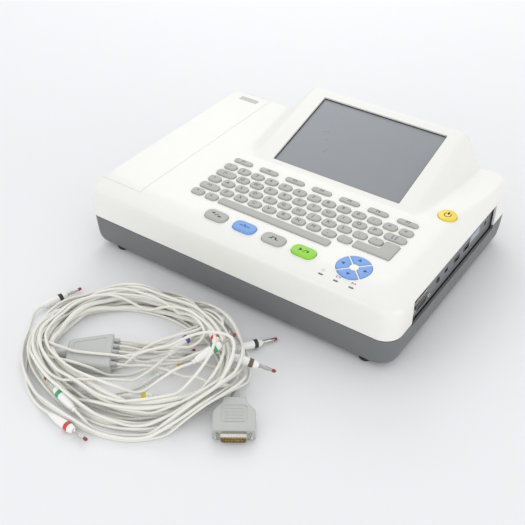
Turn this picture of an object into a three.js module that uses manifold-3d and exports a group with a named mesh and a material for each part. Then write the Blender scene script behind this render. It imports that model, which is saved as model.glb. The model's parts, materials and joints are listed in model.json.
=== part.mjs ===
// Desktop electrocardiograph: a keyboard and display console with a built-in chart recorder, and the
// patient cable that lies in front of it.
// Millimetres, +X to the operator's right, +Y to the back, +Z up. The origin is on the table, under the
// middle of the console.
import * as THREE from "three";
import { ConvexGeometry } from "three/addons/geometries/ConvexGeometry.js";
import { mergeVertices } from "three/addons/utils/BufferGeometryUtils.js";
import Module from "manifold-3d";

const wasm = await Module();
wasm.setup();

// ---------------------------------------------------------------- driving dimensions
const caseWidth = 394;
const caseDepth = 292;
const cornerRadii = { frontLeft: 8, frontRight: 20, backRight: 18, backLeft: 12 };
const wall = 2.5;
const gap = 0.3; // between pieces that touch
const slack = 0.5; // round a key or a lid

const footHeight = 4.5;
const footRadius = 8;
const baseBottom = footHeight + gap;
const seamHeight = 43;
const deckHeight = 87;

const keyPitch = 19.05;
const rowPitch = 15.7;
const keyGridLeft = -92.4;
const numberRowY = -27;
const keyWidth = 15.6;
const keyDepth = 11;
const keyRise = 2;
const keyTop = deckHeight + keyRise;
const keyBar = { bottom: deckHeight - 7.5, top: deckHeight - 5.5 };

const screenTilt = THREE.MathUtils.degToRad(15.1);
const screenWidth = 167.3;
const screenLength = 120.1; // up the slope
const screenCentreX = 30.9;
const screenFrontY = 15.7;
const humpFrontY = 8.65; // where the display's slope leaves the deck

const lid = { left: -caseWidth / 2, right: -137.4, front: -126, back: 136, skirt: 7.5, thickness: 3 };
const lidAxis = { x: -139, z: deckHeight - 2, radius: 1.2, length: 3 };
const lidLedge = 77.2; // the floor of the lid's opening
const paperSlot = { bottom: 76, top: 80.5, front: -136, right: -190 };
const sidePlates = { left: -193, right: -150, top: 76, faces: [[-109, -105.5], [108, 111.5]] };

const platen = { x: -183, z: 70, radius: 7, shaft: 3, front: -104, back: 106 };
const roll = { x: -163, z: 45, radius: 22, bore: 6, spindle: 5.4, front: -101, back: 104 };
const gearModule = 0.8;
const platenTeeth = 24;
const pinionTeeth = 12;
const gearFace = { front: 112.5, back: 116.5 };
const pinionDrop = (gearModule * (platenTeeth + pinionTeeth)) / 2 + 0.1;
const motor = { x: platen.x, z: platen.z - pinionDrop, radius: 10, front: 119, back: 133 };

const panel = { outer: 192.5, thickness: 2.5, front: -107, back: 104, ledge: 38.5, top: 69.6, recessTop: 72 };
const ecgSocket = { y: -85, z: 55.4 };
const usbSockets = { front: { y: 8.6, z: 51.8 }, rear: { y: 33.5, z: 51.8 } };
const mainsInlet = { x: 130, z: 58, width: 27, height: 19.6, depth: 22 };
const earthPost = { x: 88, z: 58, radius: 3, well: 8 };

const cable = { coilX: -27, coilY: -270, outerX: 130, outerY: 104, innerX: 82, innerY: 56, height: 17 };
const plugRest = cable.height + gap; // what the plugs lie on

// ---------------------------------------------------------------- finishes
function finish(color, roughness, metalness = 0) {
  return new THREE.MeshStandardMaterial({ color, roughness, metalness });
}

const finishes = {
  shell: finish(0xeeeeea, 0.42),
  base: finish(0x6f7476, 0.5),
  panel: finish(0x6a6e72, 0.55),
  keyGrey: finish(0xaeafaa, 0.6),
  keyBlue: finish(0x86b0ee, 0.55),
  keyGreen: finish(0x7ed63c, 0.55),
  keyYellow: finish(0xead52f, 0.5),
  rubber: finish(0x2b2c2e, 0.85),
  glass: finish(0xa5a9ae, 0.12),
  board: finish(0x1f6b45, 0.6),
  steel: finish(0xb9bcc0, 0.3, 1),
  black: finish(0x1c1d1f, 0.6),
  paper: finish(0xf3f1ec, 0.9),
  gear: finish(0xe8e6dc, 0.5),
  battery: finish(0x2a4f8a, 0.5),
  cord: finish(0xcfd0cd, 0.5),
  plug: finish(0xf1f1ee, 0.4),
};

// ---------------------------------------------------------------- solids
function solid(geometry) {
  const bare = geometry.clone();
  bare.deleteAttribute("normal");
  bare.deleteAttribute("uv");
  const merged = mergeVertices(bare, 1e-4);
  const vertProperties = new Float32Array(merged.attributes.position.array);
  const triVerts = new Uint32Array(merged.index.array);
  return new wasm.Manifold(new wasm.Mesh({ numProp: 3, vertProperties, triVerts }));
}

function block([x0, x1], [y0, y1], [z0, z1]) {
  const geometry = new THREE.BoxGeometry(x1 - x0, y1 - y0, z1 - z0);
  geometry.translate((x0 + x1) / 2, (y0 + y1) / 2, (z0 + z1) / 2);
  return solid(geometry);
}

// A cylinder along Y.
function rod(x, z, radius, y0, y1, sides = 16) {
  const geometry = new THREE.CylinderGeometry(radius, radius, y1 - y0, sides);
  geometry.translate(x, (y0 + y1) / 2, z);
  return solid(geometry);
}

// A cylinder along X.
function pin(y, z, radius, x0, x1, sides = 16) {
  const geometry = new THREE.CylinderGeometry(radius, radius, x1 - x0, sides);
  geometry.rotateZ(Math.PI / 2);
  geometry.translate((x0 + x1) / 2, y, z);
  return solid(geometry);
}

function upright(x, y, radius, z0, z1, sides = 20) {
  const geometry = new THREE.CylinderGeometry(radius, radius, z1 - z0, sides);
  geometry.rotateX(Math.PI / 2);
  geometry.translate(x, y, (z0 + z1) / 2);
  return solid(geometry);
}

// A solid of revolution about Y, moved to (x, z). The profile runs as [radius, y] pairs.
function turned(profile, x, z, sides) {
  const points = profile.map(([radius, y]) => new THREE.Vector2(radius, y));
  const geometry = new THREE.LatheGeometry(points, sides);
  geometry.translate(x, 0, z);
  return solid(geometry);
}

function extruded(shape, z0, z1, curveSegments = 2) {
  const options = { depth: z1 - z0, bevelEnabled: false, curveSegments };
  const geometry = new THREE.ExtrudeGeometry(shape, options);
  geometry.translate(0, 0, z0);
  return solid(geometry);
}

function roundedRectangle(x, y, width, depth, radius) {
  const [right, top] = [x + width / 2 - radius, y + depth / 2 - radius];
  const [left, bottom] = [x - width / 2 + radius, y - depth / 2 + radius];
  const shape = new THREE.Shape();
  shape.absarc(right, top, radius, 0, Math.PI / 2);
  shape.absarc(left, top, radius, Math.PI / 2, Math.PI);
  shape.absarc(left, bottom, radius, Math.PI, 1.5 * Math.PI);
  shape.absarc(right, bottom, radius, 1.5 * Math.PI, 2 * Math.PI);
  shape.closePath();
  return shape;
}

function series(count, first, step = 1) {
  return Array.from({ length: count }, (_, i) => first + i * step);
}

function joined(solids) {
  return solids.reduce((whole, next) => whole.add(next));
}

function cut(whole, cutters) {
  return cutters.reduce((left, next) => left.subtract(next), whole);
}

// ---------------------------------------------------------------- scene graph
const machine = new THREE.Group();

function part(name, manifold, material, parent = machine) {
  const { vertProperties, triVerts } = manifold.getMesh();
  const geometry = new THREE.BufferGeometry();
  geometry.setAttribute("position", new THREE.BufferAttribute(vertProperties, 3));
  geometry.setIndex(new THREE.BufferAttribute(triVerts, 1));
  geometry.computeVertexNormals();
  const mesh = new THREE.Mesh(geometry, material);
  mesh.name = name;
  parent.add(mesh);
  return mesh;
}

// ---------------------------------------------------------------- console shells
// The console's outline at height z, drawn in by an inset at each side.
function caseRing(z, [left, right, front, back]) {
  const half = { x: caseWidth / 2, y: caseDepth / 2 };
  const corners = [
    [half.x - right, half.y - back, cornerRadii.backRight, 0],
    [-half.x + left, half.y - back, cornerRadii.backLeft, 1],
    [-half.x + left, -half.y + front, cornerRadii.frontLeft, 2],
    [half.x - right, -half.y + front, cornerRadii.frontRight, 3],
  ];
  const steps = 5;
  return corners.flatMap(([x, y, radius, quarter]) => {
    const turn = (quarter * Math.PI) / 2;
    const outX = quarter === 0 || quarter === 3 ? 1 : -1;
    const outY = quarter < 2 ? 1 : -1;
    const cornerX = x - outX * radius;
    const cornerY = y - outY * radius;
    return Array.from({ length: steps + 1 }, (_, i) => {
      const angle = turn + (i / steps) * (Math.PI / 2);
      return new THREE.Vector3(cornerX + radius * Math.cos(angle), cornerY + radius * Math.sin(angle), z);
    });
  });
}

function hull(points) {
  return solid(new ConvexGeometry(points));
}

// Height above the table, then how far the left, right, front and back have drawn in by there.
const upperLevels = [
  [seamHeight + gap, [0, 0, 0, 0]],
  [72, [0.5, 0.5, 1.5, 0.8]],
  [80, [1, 5, 4, 2]],
  [85, [2.5, 15, 16, 5]],
  [deckHeight, [5, 27, 32, 10]],
];
const lowerLevels = [
  [baseBottom, [9, 9, 9, 9]],
  [8, [4, 4, 4, 4]],
  [16, [1.5, 1.5, 1.5, 1.5]],
  [seamHeight, [0, 0, 0, 0]],
];

function slopeHeight(y) {
  return deckHeight + (y - humpFrontY) * Math.tan(screenTilt);
}

// The raised display housing. Its top is the display's slope, and its sides spread towards the deck.
function displayHousing(inward) {
  const back = caseDepth / 2 - 0.5 - inward;
  const drop = inward / Math.cos(screenTilt);
  const foot = deckHeight - 8;
  const edges = { left: -75 + inward, right: 134 - inward };
  const feet = { frontLeft: -86, frontRight: 140, backLeft: -106, backRight: 153 };
  return hull([
    new THREE.Vector3(edges.left, humpFrontY, slopeHeight(humpFrontY) - drop),
    new THREE.Vector3(edges.right, humpFrontY, slopeHeight(humpFrontY) - drop),
    new THREE.Vector3(edges.left, back - 2, slopeHeight(back - 2) - drop),
    new THREE.Vector3(edges.right, back - 2, slopeHeight(back - 2) - drop),
    new THREE.Vector3(feet.frontLeft + inward, humpFrontY, foot),
    new THREE.Vector3(feet.frontRight - inward, humpFrontY, foot),
    new THREE.Vector3(feet.backLeft + inward, back, deckHeight - drop),
    new THREE.Vector3(feet.backRight - inward, back, deckHeight - drop),
    new THREE.Vector3(feet.backLeft + inward, back, foot),
    new THREE.Vector3(feet.backRight - inward, back, foot),
  ]);
}

function bodyOf(levels, inward) {
  return hull(levels.flatMap(([z, insets]) => caseRing(z, insets.map((inset) => inset + inward))));
}

function upperCavity() {
  const levels = upperLevels.map(([z, insets]) => [z - wall, insets]);
  levels[0][0] = seamHeight - 5;
  return bodyOf(levels, wall).add(displayHousing(wall));
}

// In the frame of the display's slope: x across, y up the slope, z out of it.
function onSlope(manifold) {
  return manifold.rotate([THREE.MathUtils.radToDeg(screenTilt), 0, 0])
    .translate([screenCentreX, screenFrontY, slopeHeight(screenFrontY)]);
}

function screenPlate(width, length, top, thickness, radius = 1.5) {
  return extruded(roundedRectangle(0, screenLength / 2, width, length, radius), top - thickness, top);
}

function lidOpening() {
  const outside = lid.left - 5;
  const opening = block(
    [outside, lid.right + 0.8], [lid.front - slack, lid.back + slack], [lidLedge, deckHeight + 5]);
  const exit = block(
    [outside, paperSlot.right], [paperSlot.front, lid.back + slack], [paperSlot.bottom, paperSlot.top]);
  return opening.add(exit);
}

function trunnions(radius, clear = 0) {
  const reach = lidAxis.length + clear;
  return [
    rod(lidAxis.x, lidAxis.z, radius, lid.front - reach, lid.front + 4, 12),
    rod(lidAxis.x, lidAxis.z, radius, lid.back - 4, lid.back + reach, 12),
  ];
}

function trunnionBosses() {
  const [x, z] = [[lidAxis.x - 4, lidAxis.x + 6], [deckHeight - 6, deckHeight - 1]];
  return [
    block(x, [lid.front - slack - 5, lid.front - slack], z),
    block(x, [lid.back + slack, lid.back + slack + 4], z),
  ];
}

function upperCase() {
  const outer = bodyOf(upperLevels, 0).add(displayHousing(0));
  const shell = joined([outer.subtract(upperCavity()), ...trunnionBosses()]);
  const connectorRecess = block(
    [panel.outer + 1, caseWidth / 2 + 5],
    [panel.front + 2, panel.back - 2],
    [seamHeight - 2, panel.recessTop]);
  const inletHole = block(
    [mainsInlet.x - mainsInlet.width / 2 - slack, mainsInlet.x + mainsInlet.width / 2 + slack],
    [130, 160],
    [mainsInlet.z - mainsInlet.height / 2 - slack, mainsInlet.z + mainsInlet.height / 2 + slack]);
  return cut(shell, [
    ...keyOutlines().map(({ draw, steps }) => extruded(draw(slack), deckHeight - 10, deckHeight + 5, steps)),
    onSlope(screenPlate(screenWidth, screenLength, 20, 40)),
    lidOpening(),
    ...trunnions(lidAxis.radius + 0.35, 0.5),
    connectorRecess,
    inletHole,
    rod(earthPost.x, earthPost.z, earthPost.well, 130, 160, 20),
  ]);
}

// ---------------------------------------------------------------- lower shell
// A side plate holds the platen's shaft, and the roll's spindle drops into a slot in it.
function recorderSidePlate([y0, y1]) {
  const plate = block([sidePlates.left, sidePlates.right], [y0, y1], [baseBottom + 1, sidePlates.top]);
  const halfSlot = roll.spindle + gap;
  const through = [y0 - 1, y1 + 1];
  return cut(plate, [
    rod(roll.x, roll.z, halfSlot, ...through),
    block([roll.x - halfSlot, roll.x + halfSlot], through, [roll.z, sidePlates.top + 1]),
    rod(platen.x, platen.z, platen.shaft + gap, ...through),
  ]);
}

function lowerCase() {
  const levels = lowerLevels.map(([z, insets]) => [z + wall + gap, insets]);
  levels[levels.length - 1][0] = seamHeight + 5;
  const tray = bodyOf(lowerLevels, 0).subtract(bodyOf(levels, wall));
  const motorCradle = block(
    [motor.x - 8, motor.x + 8],
    [motor.front + 3, motor.back + 3],
    [baseBottom + 1, motor.z - motor.radius - gap]);
  const bosses = [[-120, -128], [120, -128], [-120, 128], [120, 128]].map(([x, y]) =>
    upright(x, y, 5, baseBottom + 1, seamHeight - 3, 12));
  const shell = joined([
    tray, ...sidePlates.faces.map(recorderSidePlate), motorCradle, ...bosses]);
  const panelLedge = block(
    [panel.outer + 1, caseWidth / 2 + 5],
    [panel.front + 2, panel.back - 2],
    [panel.ledge, seamHeight + 1]);
  return cut(shell, [batteryHatch(slack), panelLedge]);
}

function batteryHatch(clear) {
  const shape = roundedRectangle(15, -92, 150 + 2 * clear, 62 + 2 * clear, 4 + clear);
  const [bottom, top] = clear ? [baseBottom - 1, baseBottom + wall + 2] : [baseBottom, baseBottom + wall];
  return extruded(shape, bottom, top);
}

// ---------------------------------------------------------------- recorder
function recorderLid() {
  const plate = block(
    [lid.left + 1, lid.right], [lid.front, lid.back], [deckHeight - lid.thickness, deckHeight]);
  const skirt = block(
    [lid.left + 1, lid.left + 3.5], [lid.front, lid.back], [deckHeight - lid.skirt, deckHeight - 1]);
  const chamfer = block([-3, 3], [lid.front - 1, lid.back + 1], [-3, 3]).rotate([0, 45, 0]);
  return cut(joined([plate, skirt, ...trunnions(lidAxis.radius)]), [
    chamfer.translate([lid.left - 1.5, 0, deckHeight + 1.5]),
    block([-0.7, 0.7], [lid.front - 1, lid.back + 1], [-0.7, 0.7])
      .rotate([0, 45, 0]).translate([lid.right, 0, deckHeight]),
  ]);
}

function gearShape(teeth, firstTooth) {
  const pitchRadius = (gearModule * teeth) / 2;
  const [tip, root] = [pitchRadius + 0.9 * gearModule, pitchRadius - 1.2 * gearModule];
  const pitchAngle = (2 * Math.PI) / teeth;
  const flank = [[root, -0.28], [tip, -0.11], [tip, 0.11], [root, 0.28]]; // radius, share of the pitch
  return new THREE.Shape(series(teeth, 0).flatMap((tooth) => flank.map(([radius, share]) => {
    const angle = firstTooth + (tooth + share) * pitchAngle;
    return new THREE.Vector2(radius * Math.cos(angle), radius * Math.sin(angle));
  })));
}

// A gear with its axis along Y.
function gear(teeth, firstTooth, x, z) {
  const thickness = gearFace.back - gearFace.front;
  return extruded(gearShape(teeth, firstTooth), 0, thickness)
    .rotate([-90, 0, 0]).translate([x, gearFace.front, z]);
}

function recorder() {
  part("recorder_lid", recorderLid(), finishes.shell);
  part("print_head",
    block([-190, -176], [platen.front, platen.back], [platen.z + platen.radius + gap, deckHeight - 3 - gap]),
    finishes.steel);
  part("platen_roller", turned([
    [0, -111.5], [platen.shaft, -111.5], [platen.shaft, platen.front], [platen.radius, platen.front],
    [platen.radius, platen.back], [platen.shaft, platen.back], [platen.shaft, 118], [0, 118],
  ], platen.x, platen.z, 20), finishes.rubber);
  const bore = rod(platen.x, platen.z, platen.shaft + gap, gearFace.front - 1, gearFace.back + 1);
  part("platen_gear", gear(platenTeeth, Math.PI / 2, platen.x, platen.z).subtract(bore), finishes.gear);
  part("motor_pinion", joined([
    gear(pinionTeeth, -Math.PI / 2 + Math.PI / pinionTeeth, motor.x, motor.z),
    rod(motor.x, motor.z, 1.5, gearFace.front, motor.front - gap, 10),
  ]), finishes.steel);
  part("paper_motor", rod(motor.x, motor.z, motor.radius, motor.front, motor.back, 20), finishes.steel);
  part("paper_roll", turned([
    [roll.bore, roll.front], [roll.radius, roll.front], [roll.radius, roll.back], [roll.bore, roll.back],
    [roll.bore, roll.front],
  ], roll.x, roll.z, 28), finishes.paper);
  part("roll_spindle", rod(roll.x, roll.z, roll.spindle, -112, 114.5), finishes.gear);
}

// ---------------------------------------------------------------- keys
const columnX = (column) => keyGridLeft + column * keyPitch;
const rowY = (row) => numberRowY - row * rowPitch;
const plain = (column) => ({ column, width: keyWidth });
const wide = (column) => ({ column, width: keyWidth + keyPitch / 2 });

const keyRows = [
  series(13, 0.5).map(plain),
  [wide(0.75), ...series(10, 2).map(plain), wide(12.25)],
  series(12, 0.5).map(plain),
  [wide(0.75), ...series(9, 2).map(plain)],
  series(2, 0.5).map(plain),
];

const functionKeys = { count: 7, x: columnX(0.846), step: 1.884 * keyPitch, y: numberRowY + 16.4 };
const functionKeySize = { width: 24.5, depth: 7.4 };
const actionKeys = [
  ["action_key_1", finishes.keyGrey],
  ["action_key_2", finishes.keyBlue],
  ["action_key_3", finishes.keyGrey],
  ["action_key_4", finishes.keyGreen],
];
const actionKey = { x: -37.5, step: 37.2, y: -116.1, width: 27.5, depth: 16, radius: 7 };
const arrowPad = { x: 129, y: -108.6, outer: 19, inner: 5, gap: 0.9 };
const arrowKeys = ["arrow_right", "arrow_up", "arrow_left", "arrow_down"];
const powerKey = { x: 167.5, y: 27.7, radius: 10.5 };
const spaceKey = { left: columnX(2.08), right: columnX(9.5) };

// An outline draws its shape wider by what it is given, which is 0 for a key and the slack for its hole,
// and says how many straight steps each of its arcs takes.
function pill(x, y, width, depth, radius, steps = 1) {
  const draw = (more) => roundedRectangle(x, y, width + 2 * more, depth + 2 * more, radius + more);
  return { draw, steps };
}

function rowOutlines(row) {
  return keyRows[row].map(({ column, width }) =>
    pill(columnX(column), rowY(row), width, keyDepth, 4.6));
}

function functionOutlines() {
  return series(functionKeys.count, 0).map((i) =>
    pill(functionKeys.x + i * functionKeys.step, functionKeys.y,
      functionKeySize.width, functionKeySize.depth, 3.6));
}

function actionOutline(i) {
  const { x, step, y, width, depth, radius } = actionKey;
  return pill(x + i * step, y, width, depth, radius, 3);
}

function spaceOutline() {
  const middle = (spaceKey.left + spaceKey.right) / 2;
  return pill(middle, rowY(4), spaceKey.right - spaceKey.left, keyDepth - 1, 2.5);
}

function enterShape(more) {
  const [left, stem, right] = [columnX(10.6), columnX(11.98), columnX(12.86)];
  const [bottom, step, top] = [rowY(3) - keyDepth / 2, rowY(3) + keyDepth / 2, rowY(2) + keyDepth / 2];
  const shape = new THREE.Shape();
  shape.moveTo(left - more, bottom - more);
  shape.lineTo(right + more, bottom - more);
  shape.lineTo(right + more, top + more);
  shape.lineTo(stem - more, top + more);
  shape.lineTo(stem - more, step + more);
  shape.lineTo(left - more, step + more);
  shape.closePath();
  return shape;
}

function arrowOutline(quarter) {
  const turn = (quarter * Math.PI) / 2;
  const draw = (more) => {
    const [outer, inner] = [arrowPad.outer + more, arrowPad.inner - more];
    const side = (radius) => Math.PI / 4 - (arrowPad.gap - more) / radius;
    const shape = new THREE.Shape();
    shape.absarc(arrowPad.x, arrowPad.y, outer, turn - side(outer), turn + side(outer));
    shape.absarc(arrowPad.x, arrowPad.y, inner, turn + side(inner), turn - side(inner), true);
    shape.closePath();
    return shape;
  };
  return { draw, steps: 5 };
}

function powerShape(more) {
  const shape = new THREE.Shape();
  shape.absarc(powerKey.x, powerKey.y, powerKey.radius + more, 0, 2 * Math.PI);
  return shape;
}

const enterOutline = { draw: enterShape, steps: 1 };
const powerOutline = { draw: powerShape, steps: 20 };

function keyOutlines() {
  return [
    ...series(keyRows.length, 0).flatMap(rowOutlines),
    ...functionOutlines(),
    ...series(actionKeys.length, 0).map(actionOutline),
    ...series(arrowKeys.length, 0).map(arrowOutline),
    spaceOutline(),
    enterOutline,
    powerOutline,
  ];
}

// One moulding with several key caps on a bar under the deck.
function keyStrip(outlines, left, right, y, depth) {
  const bar = block([left, right], [y - depth / 2, y + depth / 2], [keyBar.bottom, keyBar.top]);
  const caps = outlines.map(({ draw, steps }) => extruded(draw(0), keyBar.top - 0.5, keyTop, steps));
  return joined([bar, ...caps]);
}

function keyCap({ draw, steps }, top = keyTop) {
  return extruded(draw(0), keyBar.bottom, top, steps);
}

function keyboard() {
  keyRows.forEach((keys, row) => {
    const [first, last] = [keys[0], keys[keys.length - 1]];
    const left = columnX(first.column) - first.width / 2 + 3;
    const right = columnX(last.column) + last.width / 2 - 3;
    part(`key_row_${row + 1}`, keyStrip(rowOutlines(row), left, right, rowY(row), 8), finishes.keyGrey);
  });
  const functionEnd = functionKeys.x + (functionKeys.count - 1) * functionKeys.step + 9;
  part("function_keys",
    keyStrip(functionOutlines(), functionKeys.x - 9, functionEnd, functionKeys.y, 5), finishes.keyGrey);
  part("space_key", keyCap(spaceOutline()), finishes.keyGrey);
  part("enter_key", keyCap(enterOutline), finishes.keyGrey);
  actionKeys.forEach(([name, material], i) => part(name, keyCap(actionOutline(i)), material));
  arrowKeys.forEach((name, quarter) => {
    part(name, keyCap(arrowOutline(quarter), deckHeight + 1.5), finishes.keyBlue);
  });
  part("power_key", keyCap(powerOutline, deckHeight + 1.6), finishes.keyYellow);
  const boardTop = keyBar.bottom - 1.9;
  const boardLayer = [boardTop - 1.6, boardTop];
  part("key_circuit_board",
    block([-98, 178], [-128, 0], boardLayer).add(block([152, 178], [-1, 40], boardLayer)), finishes.board);
}

// ---------------------------------------------------------------- display
function display() {
  const slope = new THREE.Group();
  slope.position.set(screenCentreX, screenFrontY, slopeHeight(screenFrontY));
  slope.rotation.x = screenTilt;
  machine.add(slope);
  const glassTop = -wall - gap;
  const glassThickness = 1.5;
  part("screen_glass",
    screenPlate(screenWidth + 8, screenLength + 8, glassTop, glassThickness), finishes.glass, slope);
  const panelTop = glassTop - glassThickness - gap;
  part("lcd_panel", screenPlate(screenWidth + 16, screenLength + 14, panelTop, 6.5), finishes.steel, slope);
}

// ---------------------------------------------------------------- electronics
function electronics() {
  part("main_board", joined([
    block([-70, 110], [5, 128], [14, 15.6]),
    block([-20, 20], [50, 90], [15, 22]),
    block([50, 74], [60, 84], [15, 19]),
    block([-60, 90], [112, 122], [15, 24]),
  ]), finishes.board);
  part("power_supply_board", joined([
    block([127, 182], [20, 128], [14, 15.6]),
    block([130, 160], [40, 70], [15, 42]),
    upright(170, 60, 8, 15, 40, 14),
    block([128, 146], [80, 100], [15, 34]),
  ]), finishes.board);
  part("ecg_front_end", block([112, 176], [-121, -30], [14, 34]), finishes.steel);
  part("battery_pack", block([-55, 85], [-120, -64], [baseBottom + wall + 0.8, 32]), finishes.battery);
  part("battery_hatch", batteryHatch(0), finishes.base);
}

// ---------------------------------------------------------------- connectors
// The D outline of a fifteen-way connector, across y and z, as a shape whose x is y and y is z.
function dShape(width, height) {
  const lean = (height / 2) * Math.tan(THREE.MathUtils.degToRad(10));
  const shape = new THREE.Shape();
  shape.moveTo(-width / 2 + lean, -height / 2);
  shape.lineTo(width / 2 - lean, -height / 2);
  shape.lineTo(width / 2 + lean, height / 2);
  shape.lineTo(-width / 2 - lean, height / 2);
  shape.closePath();
  return shape;
}

// Stands an extruded connector on the side panel: its depth runs along X.
function onPanel(manifold, { y, z }) {
  return manifold.rotate([90, 0, 90]).translate([0, y, z]);
}

function connectorPanel() {
  const plate = block(
    [panel.outer - panel.thickness, panel.outer], [panel.front, panel.back], [panel.ledge, panel.top]);
  const through = [panel.outer - 10, panel.outer + 5];
  const usbHole = ({ y, z }) => block(through, [y - 7.2, y + 7.2], [z - 3.5, z + 3.5]);
  return cut(plate, [
    onPanel(extruded(dShape(26, 10), ...through), ecgSocket),
    usbHole(usbSockets.front),
    usbHole(usbSockets.rear),
    pin(-38.9, 54, 3.6, ...through),
    block(through, [-22, -14], [51, 55.5]),
    pin(84.8, 54.5, 2.9, ...through),
  ]);
}

function usbSocket({ y, z }) {
  const shell = block([panel.outer - 14, panel.outer + 0.7], [y - 6.6, y + 6.6], [z - 2.9, z + 2.9]);
  const mouth = block([panel.outer - 10, panel.outer + 2], [y - 6.2, y + 6.2], [z - 2.5, z + 2.5]);
  const tongue = block([panel.outer - 11, panel.outer - 1], [y - 5.4, y + 5.4], [z + 0.3, z + 2]);
  return shell.subtract(mouth).add(tongue);
}

function connectors() {
  part("connector_panel", connectorPanel(), finishes.panel);
  const flange = extruded(roundedRectangle(0, 0, 39, 12.4, 1.5), panel.outer + gap, panel.outer + 1.3);
  const body = extruded(dShape(24.6, 8.2), panel.outer - 8, panel.outer + 3.8);
  part("ecg_socket", onPanel(flange.add(body), ecgSocket), finishes.steel);
  part("usb_socket_front", usbSocket(usbSockets.front), finishes.steel);
  part("usb_socket_rear", usbSocket(usbSockets.rear), finishes.steel);
  const { x, z, width, height, depth } = mainsInlet;
  const back = caseDepth / 2 - 1;
  const housing = block(
    [x - width / 2, x + width / 2], [back - depth, back], [z - height / 2, z + height / 2]);
  const socket = block([x - 12.2, x + 12.2], [back - depth + 4, back + 5], [z - 8, z + 8]);
  part("mains_inlet", housing.subtract(socket), finishes.black);
  part("earth_post", joined([
    rod(earthPost.x, earthPost.z, earthPost.radius, back - 14, back - 1),
    rod(earthPost.x, earthPost.z, earthPost.well - 1, back - 14, back - 11, 20),
  ]), finishes.steel);
}

// ---------------------------------------------------------------- feet
function feet() {
  const places = {
    foot_front_left: [-166, -132],
    foot_front_right: [163, -132],
    foot_rear_left: [-166, 126],
    foot_rear_right: [163, 126],
  };
  for (const [name, [x, y]] of Object.entries(places)) {
    const geometry = new THREE.CylinderGeometry(footRadius, footRadius - 1, footHeight, 20);
    geometry.rotateX(Math.PI / 2);
    geometry.translate(x, y, footHeight / 2);
    part(name, solid(geometry), finishes.rubber);
  }
}

// ---------------------------------------------------------------- patient cable
// The hood and the yoke lie flat: x, y and the heading of their long axis in degrees.
const hood = { x: 105, y: -282, heading: -56, length: 42, width: 41, height: 15 };
const yoke = { x: -66, y: -296, heading: 36, length: 46, height: 14 };

// Each electrode plug: where its middle lies, its heading in degrees, and how far it stands off the table.
const leadPlugs = {
  lead_plug_c6: { x: 11, y: -243, heading: 83, lift: plugRest },
  lead_plug_c1: { x: 35, y: -221, heading: -36, lift: plugRest },
  lead_plug_c3: { x: 50, y: -249, heading: 66, lift: plugRest + 10 },
  lead_plug_n: { x: 59, y: -192, heading: 62, lift: plugRest },
  lead_plug_c4: { x: 77, y: -226, heading: 24, lift: plugRest },
  lead_plug_c2: { x: 10, y: -260, heading: 80, lift: gap },
  lead_plug_l: { x: 10, y: -312, heading: 35, lift: gap },
  lead_plug_f: { x: -41, y: -358, heading: 168, lift: plugRest },
  lead_plug_r: { x: -25, y: -377, heading: -4, lift: gap },
  lead_plug_c5: { x: -158, y: -254, heading: 74, lift: gap },
};
const plugBody = { length: 30, radius: 4.6 };
const plugPin = { length: 18, radius: 2 };

function lying(manifold, { x, y, heading }, z) {
  return manifold.rotate([0, 0, heading]).translate([x, y, z]);
}

function coil() {
  const { outerX, outerY, innerX, innerY, height, coilX, coilY } = cable;
  const shape = new THREE.Shape();
  shape.absellipse(0, 0, outerX, outerY, 0, 2 * Math.PI);
  const hole = new THREE.Path();
  hole.absellipse(0, 0, innerX, innerY, 0, 2 * Math.PI);
  shape.holes.push(hole);
  return extruded(shape, gap, height, 24).translate([coilX, coilY, 0]);
}

function hoodSolid(clear = 0) {
  const { length, width, height } = hood;
  const shape = new THREE.Shape();
  const [back, front] = [-length / 2 - clear, length / 2 + clear];
  shape.moveTo(back, -width * 0.3 - clear);
  shape.lineTo(-length * 0.1, -width / 2 - clear);
  shape.lineTo(front, -width / 2 - clear);
  shape.lineTo(front, width / 2 + clear);
  shape.lineTo(-length * 0.1, width / 2 + clear);
  shape.lineTo(back, width * 0.3 + clear);
  shape.closePath();
  return lying(extruded(shape, gap - clear, height + gap + clear), hood, 0);
}

function yokeSolid(clear = 0) {
  const { length, height } = yoke;
  const [narrow, broad] = [16 + clear, 25 + clear];
  const shape = new THREE.Shape();
  shape.moveTo(-length / 2 - clear, -narrow);
  shape.lineTo(length / 2 + clear, -broad);
  shape.lineTo(length / 2 + clear, broad);
  shape.lineTo(-length / 2 - clear, narrow);
  shape.closePath();
  return lying(extruded(shape, gap - clear, height + gap + clear), yoke, 0);
}

// An electrode plug lies along its heading, with the pin in front.
function leadPlug(place, clear = 0) {
  const { length, radius } = plugBody;
  const profile = [
    [0, -length / 2 - clear], [radius * 0.6 + clear, -length / 2 - clear], [radius + clear, -4],
    [radius + clear, length / 2 + clear], [plugPin.radius + clear, length / 2 + clear],
    [plugPin.radius + clear, length / 2 + plugPin.length + clear], [0, length / 2 + plugPin.length + clear],
  ];
  const upwards = turned(profile, 0, 0, 12).rotate([0, 0, -90]);
  return lying(upwards, place, place.lift + radius);
}

function patientCable() {
  const onTheTable = Object.values(leadPlugs).filter(({ lift }) => lift === gap);
  const obstacles = [hoodSolid(gap), yokeSolid(gap), ...onTheTable.map((place) => leadPlug(place, gap))];
  part("cable_coil", cut(coil(), obstacles), finishes.cord);
  part("cable_hood", hoodSolid(), finishes.cord);
  const front = hood.length / 2 + gap;
  const face = extruded(dShape(24.6, 8.2), front, front + 6).rotate([90, 0, 90]);
  part("cable_plug_shell", lying(face, hood, gap + hood.height / 2), finishes.steel);
  part("cable_yoke", yokeSolid(), finishes.cord);
  for (const [name, place] of Object.entries(leadPlugs)) part(name, leadPlug(place), finishes.plug);
}

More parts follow.
